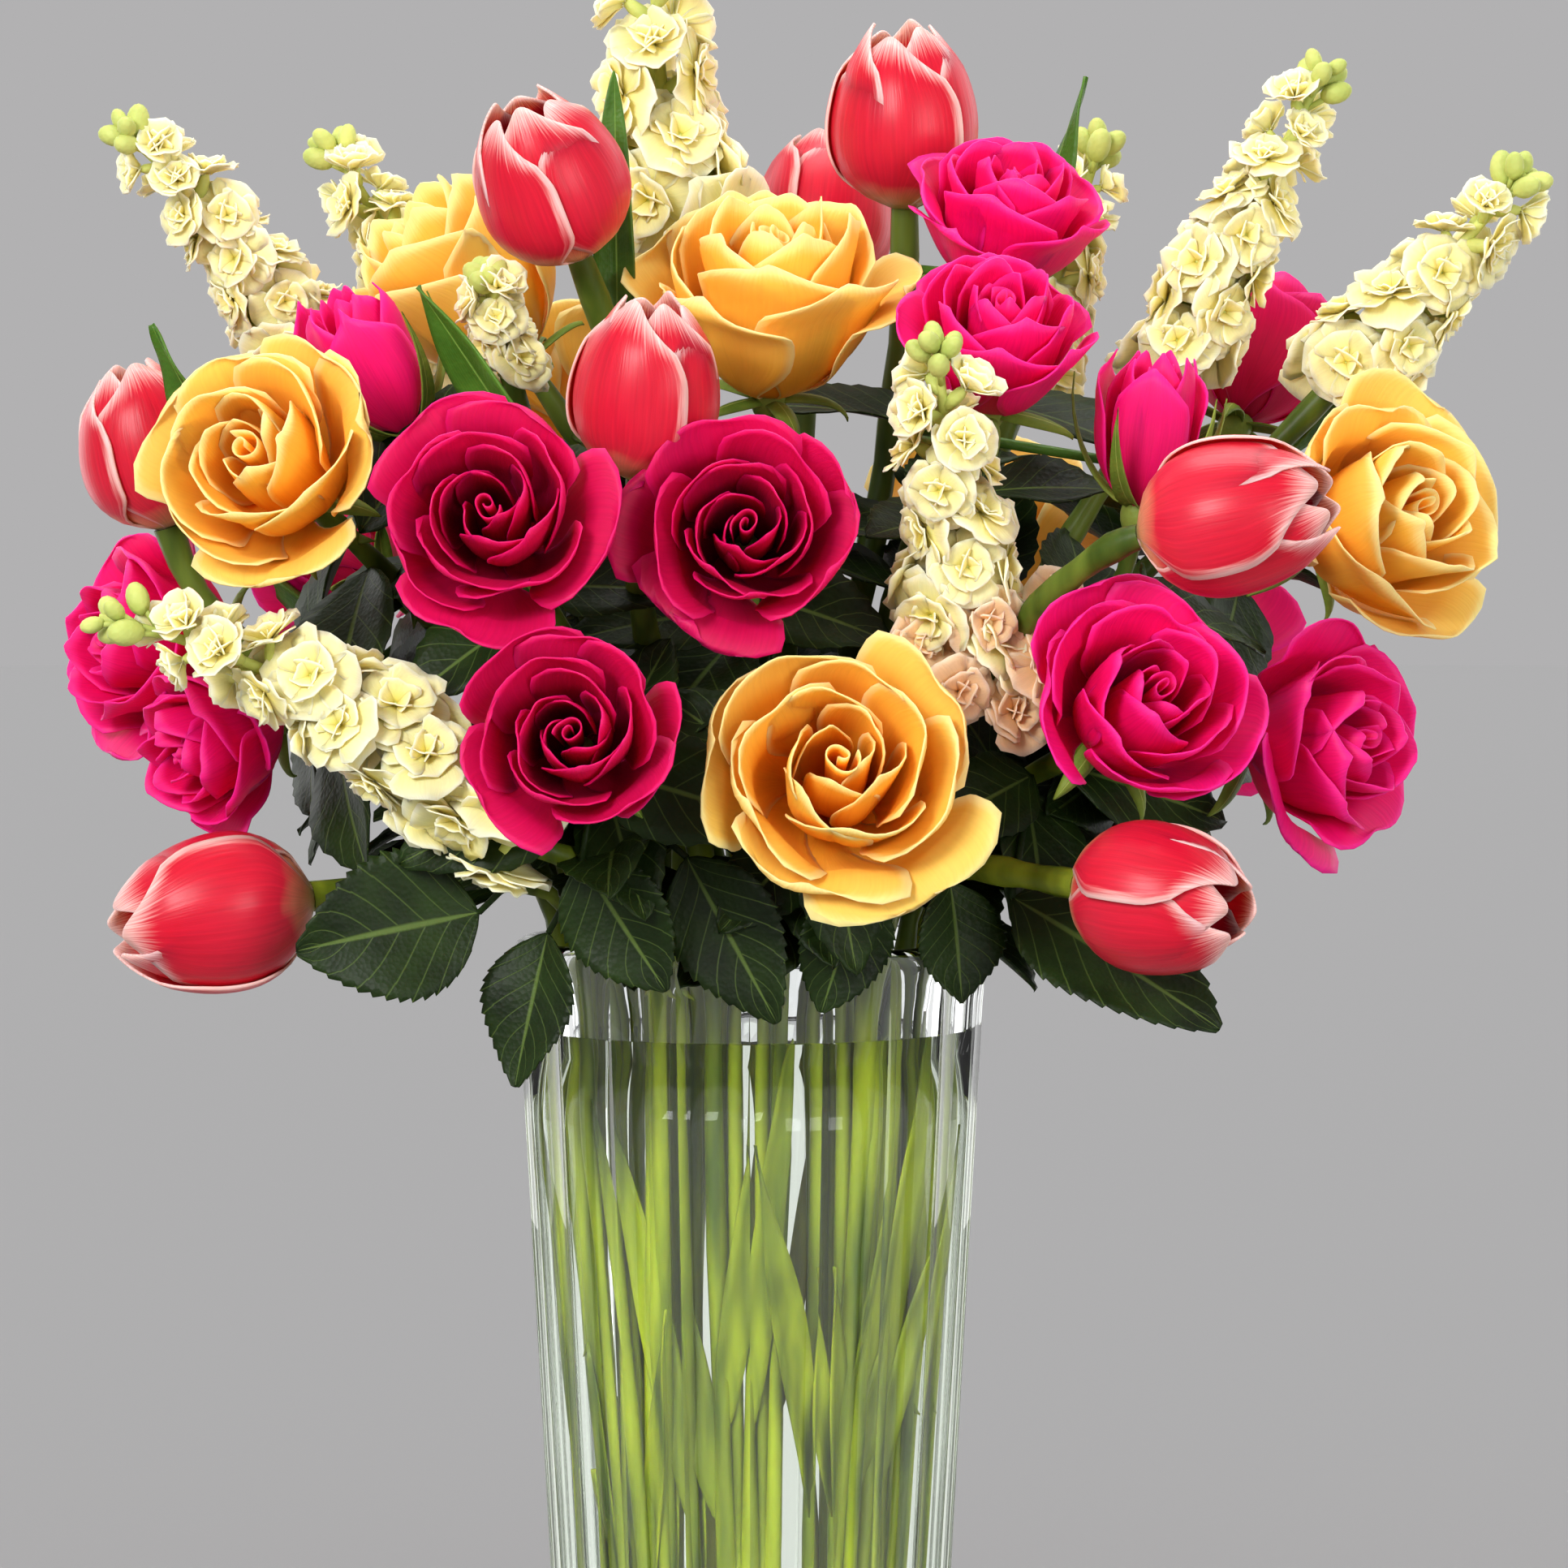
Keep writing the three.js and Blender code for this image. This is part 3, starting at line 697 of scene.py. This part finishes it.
# The rose sepals -----------------------------------------------------------------------------
# Under each bloom sits a green hip, the swollen end of the stem, and from it five pointed sepals
# spread and hang back, or hug the side of a bud.


def leaf_material(name, dark, light, vein, side_veins, roughness):
    """Leaf: green with a pale midrib and side veins that follow the blade's own UV map."""
    made, tree, shader = new_material(name, Roughness=roughness)
    shader.inputs["Specular IOR Level"].default_value = 0.18
    shader.inputs["Subsurface Weight"].default_value = 0.08
    shader.inputs["Subsurface Scale"].default_value = 0.002
    spot = add_node(tree, "ShaderNodeUVMap", uv_map="petal").outputs[0]
    parts = add_node(tree, "ShaderNodeSeparateXYZ", {0: spot})
    place = add_node(tree, "ShaderNodeTexCoord").outputs["Object"]
    patches = add_node(tree, "ShaderNodeTexNoise", {"Vector": place, "Scale": 60.0, "Detail": 4.0})
    green = add_node(tree, "ShaderNodeValToRGB", {"Fac": patches.outputs["Fac"]})
    green.color_ramp.elements[0].position = 0.3
    green.color_ramp.elements[0].color = paint(dark)
    green.color_ramp.elements[1].position = 0.72
    green.color_ramp.elements[1].color = paint(light)
    centred = add_node(tree, "ShaderNodeMath", {0: parts.outputs["X"], 1: 0.5}, operation="SUBTRACT")
    side = add_node(tree, "ShaderNodeMath", {0: centred.outputs[0]}, operation="ABSOLUTE")
    rib = add_node(
        tree, "ShaderNodeMapRange", {"Value": side.outputs[0], "From Min": 0.012, "From Max": 0.03, "To Min": 1.0, "To Max": 0.0}
    )
    slant = add_node(tree, "ShaderNodeMath", {0: side.outputs[0], 1: -0.62, 2: parts.outputs["Y"]}, operation="MULTIPLY_ADD")
    if side_veins:
        phase = add_node(tree, "ShaderNodeMath", {0: slant.outputs[0], 1: side_veins * math.tau}, operation="MULTIPLY")
    else:
        phase = add_node(tree, "ShaderNodeMath", {0: centred.outputs[0], 1: 22 * math.tau}, operation="MULTIPLY")
    wave = add_node(tree, "ShaderNodeMath", {0: phase.outputs[0]}, operation="COSINE")
    fine = add_node(
        tree, "ShaderNodeMapRange", {"Value": wave.outputs[0], "From Min": 0.955, "From Max": 1.0, "To Max": 0.55 if side_veins else 0.25}
    )
    lines = add_node(tree, "ShaderNodeMath", {0: rib.outputs[0], 1: fine.outputs[0]}, operation="MAXIMUM")
    veined = add_node(
        tree, "ShaderNodeMix", {0: lines.outputs[0], 6: green.outputs[0], 7: paint(vein)}, data_type="RGBA"
    )
    tree.links.new(veined.outputs[2], shader.inputs["Base Color"])
    grain = add_node(tree, "ShaderNodeTexVoronoi", {"Vector": place, "Scale": 700.0})
    relief = add_node(tree, "ShaderNodeMath", {0: lines.outputs[0], 1: -0.8, 2: grain.outputs["Distance"]}, operation="MULTIPLY_ADD")
    bump = add_node(tree, "ShaderNodeBump", {"Height": relief.outputs[0], "Strength": 0.3, "Distance": 0.0005})
    tree.links.new(bump.outputs[0], shader.inputs["Normal"])
    return made


sepal_green = leaf_material("rose_sepal", "4a6b20", "86983c", "a3b35a", 0, 0.5)


def sepal(head, turn, bud, chance):
    reach = chance.uniform(0.020, 0.028)
    hang = chance.uniform(0.4, 1.2)

    def shape(across, along):
        wide = 0.0042 * (1 - along) ** 0.75 * (0.6 + 0.9 * along * (1 - along) * 2)
        if bud:
            out = 0.004 + head.radius * 0.98 * math.sin(min(1.4, along * 1.5))
            height = 0.002 + reach * 1.35 * along**1.5
        else:
            out = 0.0035 + reach * 0.9 * math.sin(along * 1.35)
            height = -0.001 + 0.004 * along - reach * 0.55 * hang * along**2
        spot = around_axis(turn, out, height)
        aside = Vector((-math.sin(turn), math.cos(turn), 0)) * across * wide
        return spot + aside + Vector((0, 0, -0.0012 * abs(across) ** 2))

    return shape


bm = new_flower()
for number, head in enumerate(roses):
    chance = random.Random(300 + number)
    bud = head.name.startswith("rose_bud")
    hip = head.place @ Matrix.Translation((0, 0, -0.002)) @ Matrix.Diagonal((0.0052, 0.0052, 0.0068, 1))
    bmesh.ops.create_uvsphere(bm, u_segments=14, v_segments=10, radius=1.0, matrix=hip)
    first = chance.uniform(0, math.tau)
    for i in range(5):
        add_sheet(bm, 4, 9, sepal(head, first + i * math.tau / 5, bud, chance), head.place)
sepals = piece("rose_sepals", bm, sepal_green, (), 0.0005)

# The rose leaves -----------------------------------------------------------------------------
# Dark glossy leaves with saw-toothed edges, folded a little along the midrib and quilted between
# their side veins. Seven hang over the rim, and smaller ones fill the gaps among the stems.


def frame_of(along, face):
    """The turn that lays a blade's length along one way with its upper face towards another."""
    along = along.normalized()
    across = along.cross(face).normalized()
    return Matrix((across, along, across.cross(along))).transposed()


def blade(length, half_width, base, turn, teeth, fold, droop, fullest, chance):
    """A leaf blade's shape, growing from base along the turned Y axis."""
    twist = chance.uniform(-0.35, 0.35)
    phase = chance.uniform(0, math.tau)

    def shape(across, along):
        full = along**fullest
        wide = half_width * max(0.0, math.sin(math.pi * full)) ** 0.8 * (1.0 - 0.12 * along)
        saw = (along * teeth) % 1.0 if teeth else 0.0
        reach = along + (0.28 / teeth * saw * abs(across) ** 3 if teeth else 0.0)
        wide *= 1 + (0.09 * saw * abs(across) ** 2 if teeth else 0.0)
        up = fold * abs(across) * wide
        up -= droop * length * along**2
        if teeth:
            up -= 0.0007 * math.cos((along - abs(across) * 0.31) * 7 * math.tau) * abs(across) * (1 - abs(across))
        up += 0.0012 * math.sin(along * 9 + phase) * across
        bank = twist * along
        spot = Vector((across * wide * math.cos(bank), reach * length, up + across * wide * math.sin(bank)))
        return base + turn @ spot

    return shape


LEAVES = {
    "rose_leaf_far_left": ((-0.078, -0.098, 0.268), (-0.126, -0.108, 0.259), 0.040),
    "rose_leaf_left": ((-0.058, -0.096, 0.262), (-0.068, -0.098, 0.221), 0.027),
    "rose_leaf_front_left": ((-0.048, -0.112, 0.284), (-0.026, -0.114, 0.249), 0.030),
    "rose_leaf_front": ((-0.018, -0.100, 0.284), (0.006, -0.104, 0.240), 0.030),
    "rose_leaf_front_middle": ((0.032, -0.094, 0.276), (0.022, -0.092, 0.241), 0.026),
    "rose_leaf_front_right": ((0.058, -0.090, 0.276), (0.062, -0.092, 0.244), 0.026),
    "rose_leaf_right": ((0.076, -0.094, 0.272), (0.131, -0.112, 0.240), 0.040),
    "tulip_leaf_left": ((-0.058, -0.078, 0.392), (-0.095, -0.084, 0.449), 0.021),
    "tulip_leaf_right": ((0.082, 0.026, 0.452), (0.100, 0.022, 0.513), 0.015),
}


def leaf_stalk(name):
    """The end of a leaf's stalk, where it leaves the stem nearest to the vase's axis."""
    points = [v.co for v in nodes[name].data.vertices]
    return min(points, key=lambda p: math.hypot(p.x, p.y)).copy()


rose_leaf = leaf_material("rose_leaf", "0f1b06", "22350e", "50642c", 7, 0.5)
for number, name in enumerate(name for name in LEAVES if name.startswith("rose")):
    chance = random.Random(500 + number)
    base, tip, width = Vector(LEAVES[name][0]), Vector(LEAVES[name][1]), LEAVES[name][2]
    start = leaf_stalk(name)
    bm = tubes("stalk", [[(start, 0.0009), (start.lerp(base, 0.5), 0.0008), (base, 0.0007)]])
    bm.loops.layers.uv.new("petal")
    bm.verts.layers.float.new("tone")
    middle = (base + tip) / 2
    turn = frame_of(tip - base, Vector((middle.x, middle.y, 0)))
    shape = blade((tip - base).length * 1.08, width * 0.56, base, turn, 15, 0.22, 0.05, 0.82, chance)
    add_sheet(bm, 12, 60, shape, Matrix.Identity(4))
    piece(f"{name}_blade", bm, rose_leaf, [name], 0.0005)

for bunch, members in BUNCHES.items():
    chance = random.Random(700 + len(bunch) * 7 + len(members))
    bm = new_flower()
    for name in members:
        if heads[name].kind != "rose":
            continue
        points = stem_lines[name]
        head = heads[name]
        first = chance.uniform(0, math.tau)
        for number, place in enumerate((11, 13, 15, 17, 19, 20, 21, 22, 23)):
            start = points[place]
            along = (points[place + 1] - start).normalized()
            if place < 19:
                # Lower leaves spread outwards from the stem.
                out = Vector((start.x, start.y, 0)).normalized() + Vector((0, 0, chance.uniform(-0.2, 0.6)))
                out += Vector((chance.uniform(-0.8, 0.8), chance.uniform(-0.8, 0.8), 0))
                out = (out - along * out.dot(along) * 0.6).normalized()
                face = Vector((start.x, start.y, 0.06))
            else:
                # The topmost leaves make a collar close behind the bloom.
                out = along.orthogonal()
                out.rotate(Matrix.Rotation(first + number * 2.4, 3, along))
                out = (out.normalized() + along * chance.uniform(-0.1, 0.35)).normalized()
                face = along
            length = chance.uniform(0.042, 0.060)
            turn = frame_of(out, face)
            shape = blade(length, length * 0.31, start + out * 0.003, turn, 9, 0.25, 0.14, 0.85, chance)
            add_sheet(bm, 6, 18, shape, Matrix.Identity(4))
    piece(f"{bunch}_small_leaves", bm, rose_leaf, (), 0.0005)

# The tulips ----------------------------------------------------------------------------------
# Closed goblets of six smooth petals, three outside and three in. Each is red with a frosted pale
# margin and a yellow-white heel, and its tip curls in to leave a small mouth at the top.


TULIP_SIDE = [(0, 0.14), (0.1, 0.62), (0.28, 0.94), (0.5, 1.0), (0.75, 0.84), (0.9, 0.58), (1, 0.36)]


def tulip_petal(head, turn, inner, chance):
    scale = 0.90 if inner else 1.0
    top = head.length * (chance.uniform(0.97, 1.0) if inner else chance.uniform(0.93, 1.0))
    half = chance.uniform(1.05, 1.18) if inner else chance.uniform(1.12, 1.25)
    tuck = chance.uniform(0.035, 0.06)
    flare = chance.uniform(0.0, 0.05)
    phase = chance.uniform(0, math.tau)

    def shape(across, along):
        outline = 1 - 0.20 * across**2 - 0.03 * across**4
        rise = along * outline
        width = half * (0.5 + 0.5 * ease(rise / 0.3)) * (1 - 0.30 * ease((rise - 0.6) / 0.4))
        out = head.radius * scale * along_line(TULIP_SIDE, rise)
        out += head.radius * (tuck * across * ease(rise * 3) + flare * ease((rise - 0.7) / 0.3) * (1 - abs(across)))
        out -= head.radius * 0.035 * math.exp(-((across / 0.10) ** 2)) * ease(rise * 2) * (1 - rise)
        out += head.radius * 0.03 * abs(across) ** 4 * rise
        out += head.radius * 0.012 * math.sin(across * 6 + phase) * rise**2
        return around_axis(turn + across * width, out, top * rise)

    return shape


tulip_skin = petal_material(
    "tulip_petal",
    [(0.0, "e9d48a"), (0.03, "eaa276"), (0.13, "d9203a"), (0.5, "cd0f2b"), (1.0, "da2742")],
    ("ffc9c2", 0.97, 0.25, 0.9),
    0.34,
    0.14,
)
tulips = [head for head in heads.values() if head.kind == "tulip"]
for number, head in enumerate(tulips):
    chance = random.Random(900 + number)
    bm = new_flower()
    first = chance.uniform(0, math.tau)
    for i in range(6):
        turn = first + (i % 3) * math.tau / 3 + (math.pi / 3 if i >= 3 else 0)
        add_sheet(bm, 18, 18, tulip_petal(head, turn, i >= 3, chance), head.place, 0.0)
    heel = head.place @ Matrix.Translation((0, 0, 0.0015))
    heel @= Matrix.Diagonal((head.radius * 0.21, head.radius * 0.21, 0.002, 1))
    bmesh.ops.create_uvsphere(bm, u_segments=16, v_segments=8, radius=1.0, matrix=heel)
    piece(f"{head.name}_petals", bm, tulip_skin, [head.name], 0.0007)

# The tulip hearts ----------------------------------------------------------------------------
# Inside each goblet six dark anthers stand on short pale threads round a green three-lobed pistil.
anther_dark, tree, shader = new_material("tulip_anther", Roughness=0.7)
place = add_node(tree, "ShaderNodeTexCoord").outputs["Object"]
dust = add_node(tree, "ShaderNodeTexNoise", {"Vector": place, "Scale": 900.0, "Detail": 2.0})
dusty = add_node(tree, "ShaderNodeValToRGB", {"Fac": dust.outputs["Fac"]})
dusty.color_ramp.elements[0].position = 0.35
dusty.color_ramp.elements[0].color = paint("1c1020")
dusty.color_ramp.elements[1].position = 0.7
dusty.color_ramp.elements[1].color = paint("5a4030")
tree.links.new(dusty.outputs["Color"], shader.inputs["Base Color"])
anthers = bmesh.new()
pistils = new_flower()
for head in tulips:
    tall = head.length * 0.42
    for i in range(6):
        turn = i * math.tau / 6 + 0.3
        foot, top = around_axis(turn, 0.003, 0.004), around_axis(turn, 0.0065, tall)
        way = top - foot
        thread = head.place @ turned_to((foot + top) / 2, way)
        bmesh.ops.create_cone(
            pistils, cap_ends=True, segments=6, radius1=0.0008, radius2=0.0006, depth=way.length, matrix=thread
        )
        pod = head.place @ turned_to(top, way) @ Matrix.Diagonal((0.0015, 0.0015, 0.006, 1))
        bmesh.ops.create_uvsphere(anthers, u_segments=8, v_segments=8, radius=1.0, matrix=pod)
    column = head.place @ Matrix.Translation((0, 0, tall * 0.5))
    bmesh.ops.create_cone(
        pistils, cap_ends=True, segments=9, radius1=0.0026, radius2=0.0022, depth=tall, matrix=column
    )
    crown = head.place @ Matrix.Translation((0, 0, tall)) @ Matrix.Diagonal((0.0042, 0.0042, 0.0018, 1))
    bmesh.ops.create_uvsphere(pistils, u_segments=9, v_segments=6, radius=1.0, matrix=crown)
piece("tulip_anthers", anthers, anther_dark)
piece("tulip_pistils", pistils, sepal_green)

# The tulip leaves ----------------------------------------------------------------------------
# Smooth upright blades with veins that run side by side to a sharp tip.
tulip_leaf = leaf_material("tulip_leaf", "2f5313", "4f7a26", "6f9440", 0, 0.4)
for number, name in enumerate(name for name in LEAVES if name.startswith("tulip")):
    chance = random.Random(1100 + number)
    base, tip, width = Vector(LEAVES[name][0]), Vector(LEAVES[name][1]), LEAVES[name][2]
    start = leaf_stalk(name)
    bm = tubes("stalk", [[(start, 0.0012), (start.lerp(base, 0.5), 0.0011), (base, 0.001)]])
    bm.loops.layers.uv.new("petal")
    bm.verts.layers.float.new("tone")
    middle = (base + tip) / 2
    turn = frame_of(tip - base, Vector((middle.x, middle.y, 0)))
    shape = blade((tip - base).length, width * 0.52, base, turn, 0, 0.35, -0.02, 0.7, chance)
    add_sheet(bm, 8, 26, shape, Matrix.Identity(4))
    piece(f"{name}_blade", bm, tulip_leaf, [name], 0.0008)

# A few more narrow blades stand free between the flowers, each from its nearest tulip stem.
FREE_BLADES = [
    ((-0.039, -0.040, 0.430), (-0.039, -0.040, 0.512), 0.013),
    ((-0.155, -0.060, 0.400), (-0.173, -0.070, 0.438), 0.014),
    ((0.150, 0.030, 0.390), (0.196, 0.040, 0.432), 0.015),
    ((-0.050, 0.085, 0.400), (-0.075, 0.110, 0.470), 0.018),
    ((0.060, 0.085, 0.400), (0.072, 0.118, 0.470), 0.018),
    ((-0.120, 0.060, 0.340), (-0.175, 0.080, 0.385), 0.020),
]
tulip_stem_points = [p for name, line in stem_lines.items() if heads[name].kind == "tulip" for p in line]
bm = new_flower()
chance = random.Random(1150)
for base, tip, width in FREE_BLADES:
    base, tip = Vector(base), Vector(tip)
    start = min(tulip_stem_points, key=lambda p: (p - base).length)
    stalk = tubes("stalk", [[(start, 0.0014), (start.lerp(base, 0.5), 0.0012), (base, 0.001)]])
    core = bpy.data.meshes.new("stalk")
    stalk.to_mesh(core)
    stalk.free()
    bm.from_mesh(core)
    bpy.data.meshes.remove(core)
    turn = frame_of(tip - base, Vector((base.x, base.y - 0.05, 0)))
    shape = blade((tip - base).length, width * 0.52, base, turn, 0, 0.4, -0.03, 0.7, chance)
    add_sheet(bm, 8, 26, shape, Matrix.Identity(4))
piece("free_tulip_blades", bm, tulip_leaf, (), 0.0008)

# Under water each tulip stem keeps one or two soft pale leaves, folded round it and leaning
# across the other stems, pressed flat where they meet the glass.
bm = new_flower()
for number, head in enumerate(tulips):
    chance = random.Random(1200 + number)
    points = stem_lines[head.name]
    for side in (-1, 1):
        low = chance.randrange(0, 4)
        start = points[low]
        radial = Vector((start.x, start.y, 0)).normalized()
        sideways = Vector((-radial.y, radial.x, 0)) * side * chance.uniform(0.08, 0.38)
        along = (points[low + 1] - start).normalized() + sideways + radial * chance.uniform(0.0, 0.1)
        length = chance.uniform(0.08, 0.15)
        turn = frame_of(along, radial)
        grow = blade(length, chance.uniform(0.006, 0.0095), start, turn, 0, 0.3, 0.0, 0.7, chance)

        def pressed(across, along, grow=grow):
            spot = grow(across, along)
            reach = math.hypot(spot.x, spot.y)
            room = vase_radius(spot.z) - VASE_WALL - 0.0016
            if reach > room:
                spot.xy *= room / reach
            return spot

        add_sheet(bm, 4, 20, pressed, Matrix.Identity(4))
piece("tulip_water_leaves", bm, stem_green, (), 0.0008)

# The stock -----------------------------------------------------------------------------------
# Spikes of double cream florets, each a ruffled rosette a little over 2 cm across, packed in a
# spiral round the stem. They are smaller up the spike, which ends in green buds on short stalks.


def floret_petal(size, turn, tier, opened, chance):
    """A broad rounded petal of a floret. tier is 0 for the outermost ring, opened is 0 to 1."""
    lift = mix(0.9, 0.1, opened) + (0.0, 0.5, 0.95)[tier] + chance.uniform(-0.2, 0.2)
    reach = size * (1.0, 0.78, 0.52)[tier] * chance.uniform(0.88, 1.1)
    wide = reach * chance.uniform(0.60, 0.74)
    phase = chance.uniform(0, math.tau)
    cup = chance.uniform(-0.05, 0.22)

    def shape(across, along):
        far = along * (1 - 0.2 * across**2)
        width = mix(0.22, 1.0, ease(far / 0.6)) * (1 - 0.4 * max(0, (far - 0.6) / 0.4) ** 2)
        up = far * math.sin(lift) - 0.22 * far**2 * opened + cup * across**2 * far
        up += 0.07 * math.sin(across * 5 + phase) * far**2
        spot = Vector((reach * far * math.cos(lift), across * wide * width, reach * up))
        spot.rotate(Matrix.Rotation(turn, 3, "Z"))
        return spot

    return shape


stock_cream = petal_material(
    "stock_petal",
    [(0.0, "b4c23c"), (0.16, "ead966"), (0.42, "f9ea96"), (1.0, "fff5c0")],
    ("fffbdc", 0.85, 0.05, 0.6),
    0.6,
    0.05,
)
bud_green = leaf_material("stock_bud", "8da32c", "c9cf6e", "dfe09a", 0, 0.5)
for number, head in enumerate(head for head in heads.values() if head.kind == "stock"):
    chance = random.Random(1300 + number)
    florets = new_flower()
    buds = new_flower()

    def spine(share):
        return head.base + head.axis * head.length * share + head.bow * 1.6 * 4 * share * (1 - share)

    stalk = tubes("spine", [[(spine(i / 10), mix(0.0028, 0.0012, i / 10)) for i in range(11)]])
    core = bpy.data.meshes.new("spine")
    stalk.to_mesh(core)
    stalk.free()
    buds.from_mesh(core)
    bpy.data.meshes.remove(core)
    turn = chance.uniform(0, math.tau)
    number_of_florets = round(head.length * 0.86 / (head.radius * 0.2))
    number_of_buds = 6
    for i in range(number_of_florets + number_of_buds):
        opened = i < number_of_florets
        if opened:
            share = 0.86 * (i + 0.2) / number_of_florets
        else:
            share = 0.88 + 0.11 * (i - number_of_florets) / number_of_buds
        taper = 1 - 0.5 * share
        size = max(0.009, head.radius * 0.72 * taper) * chance.uniform(0.88, 1.15)
        turn += math.radians(137.5)
        sideways = head.axis.orthogonal().normalized()
        sideways.rotate(Matrix.Rotation(turn, 3, head.axis))
        way = (sideways + head.axis * mix(0.05, 1.1, share)).normalized()
        if opened:
            root = spine(share)
            spot = root + way * head.radius * chance.uniform(0.45, 0.75) * taper
            place = turned_to(spot, way) @ Matrix.Rotation(chance.uniform(-0.5, 0.5), 4, "X")
            opening = 1 - ease((share - 0.45) / 0.4) * 0.8
            for tier, count in enumerate((5, 4, 4)):
                for k in range(count):
                    petal_turn = k * math.tau / count + tier * 0.6 + chance.uniform(-0.25, 0.25)
                    petal = floret_petal(size, petal_turn, tier, opening, chance)
                    add_sheet(florets, 6, 4, petal, place, 0.45 - 0.15 * tier)
            heel = turned_to((root + spot) / 2, spot - root)
            heel @= Matrix.Diagonal((size * 0.2, size * 0.2, (spot - root).length * 0.6, 1))
            bmesh.ops.create_uvsphere(buds, u_segments=8, v_segments=6, radius=1.0, matrix=heel)
        else:
            tip = spine(share) + way * head.radius * mix(0.42, 0.2, (share - 0.88) / 0.12)
            width = mix(0.0036, 0.0024, (share - 0.88) / 0.12) * chance.uniform(0.85, 1.15)
            pod = turned_to(tip, way) @ Matrix.Diagonal((width, width, width * 1.5, 1))
            bmesh.ops.create_uvsphere(buds, u_segments=10, v_segments=8, radius=1.0, matrix=pod)
            root = spine(share - 0.03)
            bmesh.ops.create_cone(
                buds,
                cap_ends=True,
                segments=6,
                radius1=0.0009,
                radius2=0.0009,
                depth=(tip - root).length,
                matrix=turned_to((tip + root) / 2, tip - root),
            )
    bmesh.ops.recalc_face_normals(buds, faces=buds.faces)
    piece(f"{head.name}_florets", florets, stock_cream, [head.name], 0.0004)
    piece(f"{head.name}_buds", buds, bud_green)

# The peach stock -----------------------------------------------------------------------------
# Low between the roses on the right a few older florets of stock have turned peach. They sit on
# a side shoot of the front stock's stem.
stock_peach = petal_material(
    "peach_stock_petal",
    [(0.0, "b98a3a"), (0.16, "e2a862"), (0.42, "f2bd88"), (1.0, "fbd5ae")],
    ("ffe6cc", 0.85, 0.05, 0.5),
    0.6,
    0.05,
)
chance = random.Random(1500)
bm = new_flower()
shoot = stem_lines["stock_front_right"][20]
for x, y, z in (
    (0.050, -0.098, 0.346), (0.068, -0.104, 0.352), (0.084, -0.100, 0.340), (0.060, -0.104, 0.332),
    (0.076, -0.096, 0.326), (0.044, -0.094, 0.330), (0.088, -0.088, 0.356), (0.058, -0.088, 0.362),
):
    spot = Vector((x, y, z))
    place = turned_to(spot, Vector((x * 0.6, -0.08, chance.uniform(-0.03, 0.04))))
    for tier, count in enumerate((5, 4, 4)):
        for k in range(count):
            petal_turn = k * math.tau / count + tier * 0.6 + chance.uniform(-0.25, 0.25)
            add_sheet(bm, 6, 4, floret_petal(0.0125, petal_turn, tier, 0.85, chance), place, 0.45 - 0.15 * tier)
piece("peach_florets", bm, stock_peach, (), 0.0004)
bm = tubes("shoots", [[(shoot, 0.0016), (Vector((0.067, -0.088, 0.342)), 0.0012)]])
piece("peach_shoot", bm, stem_green)
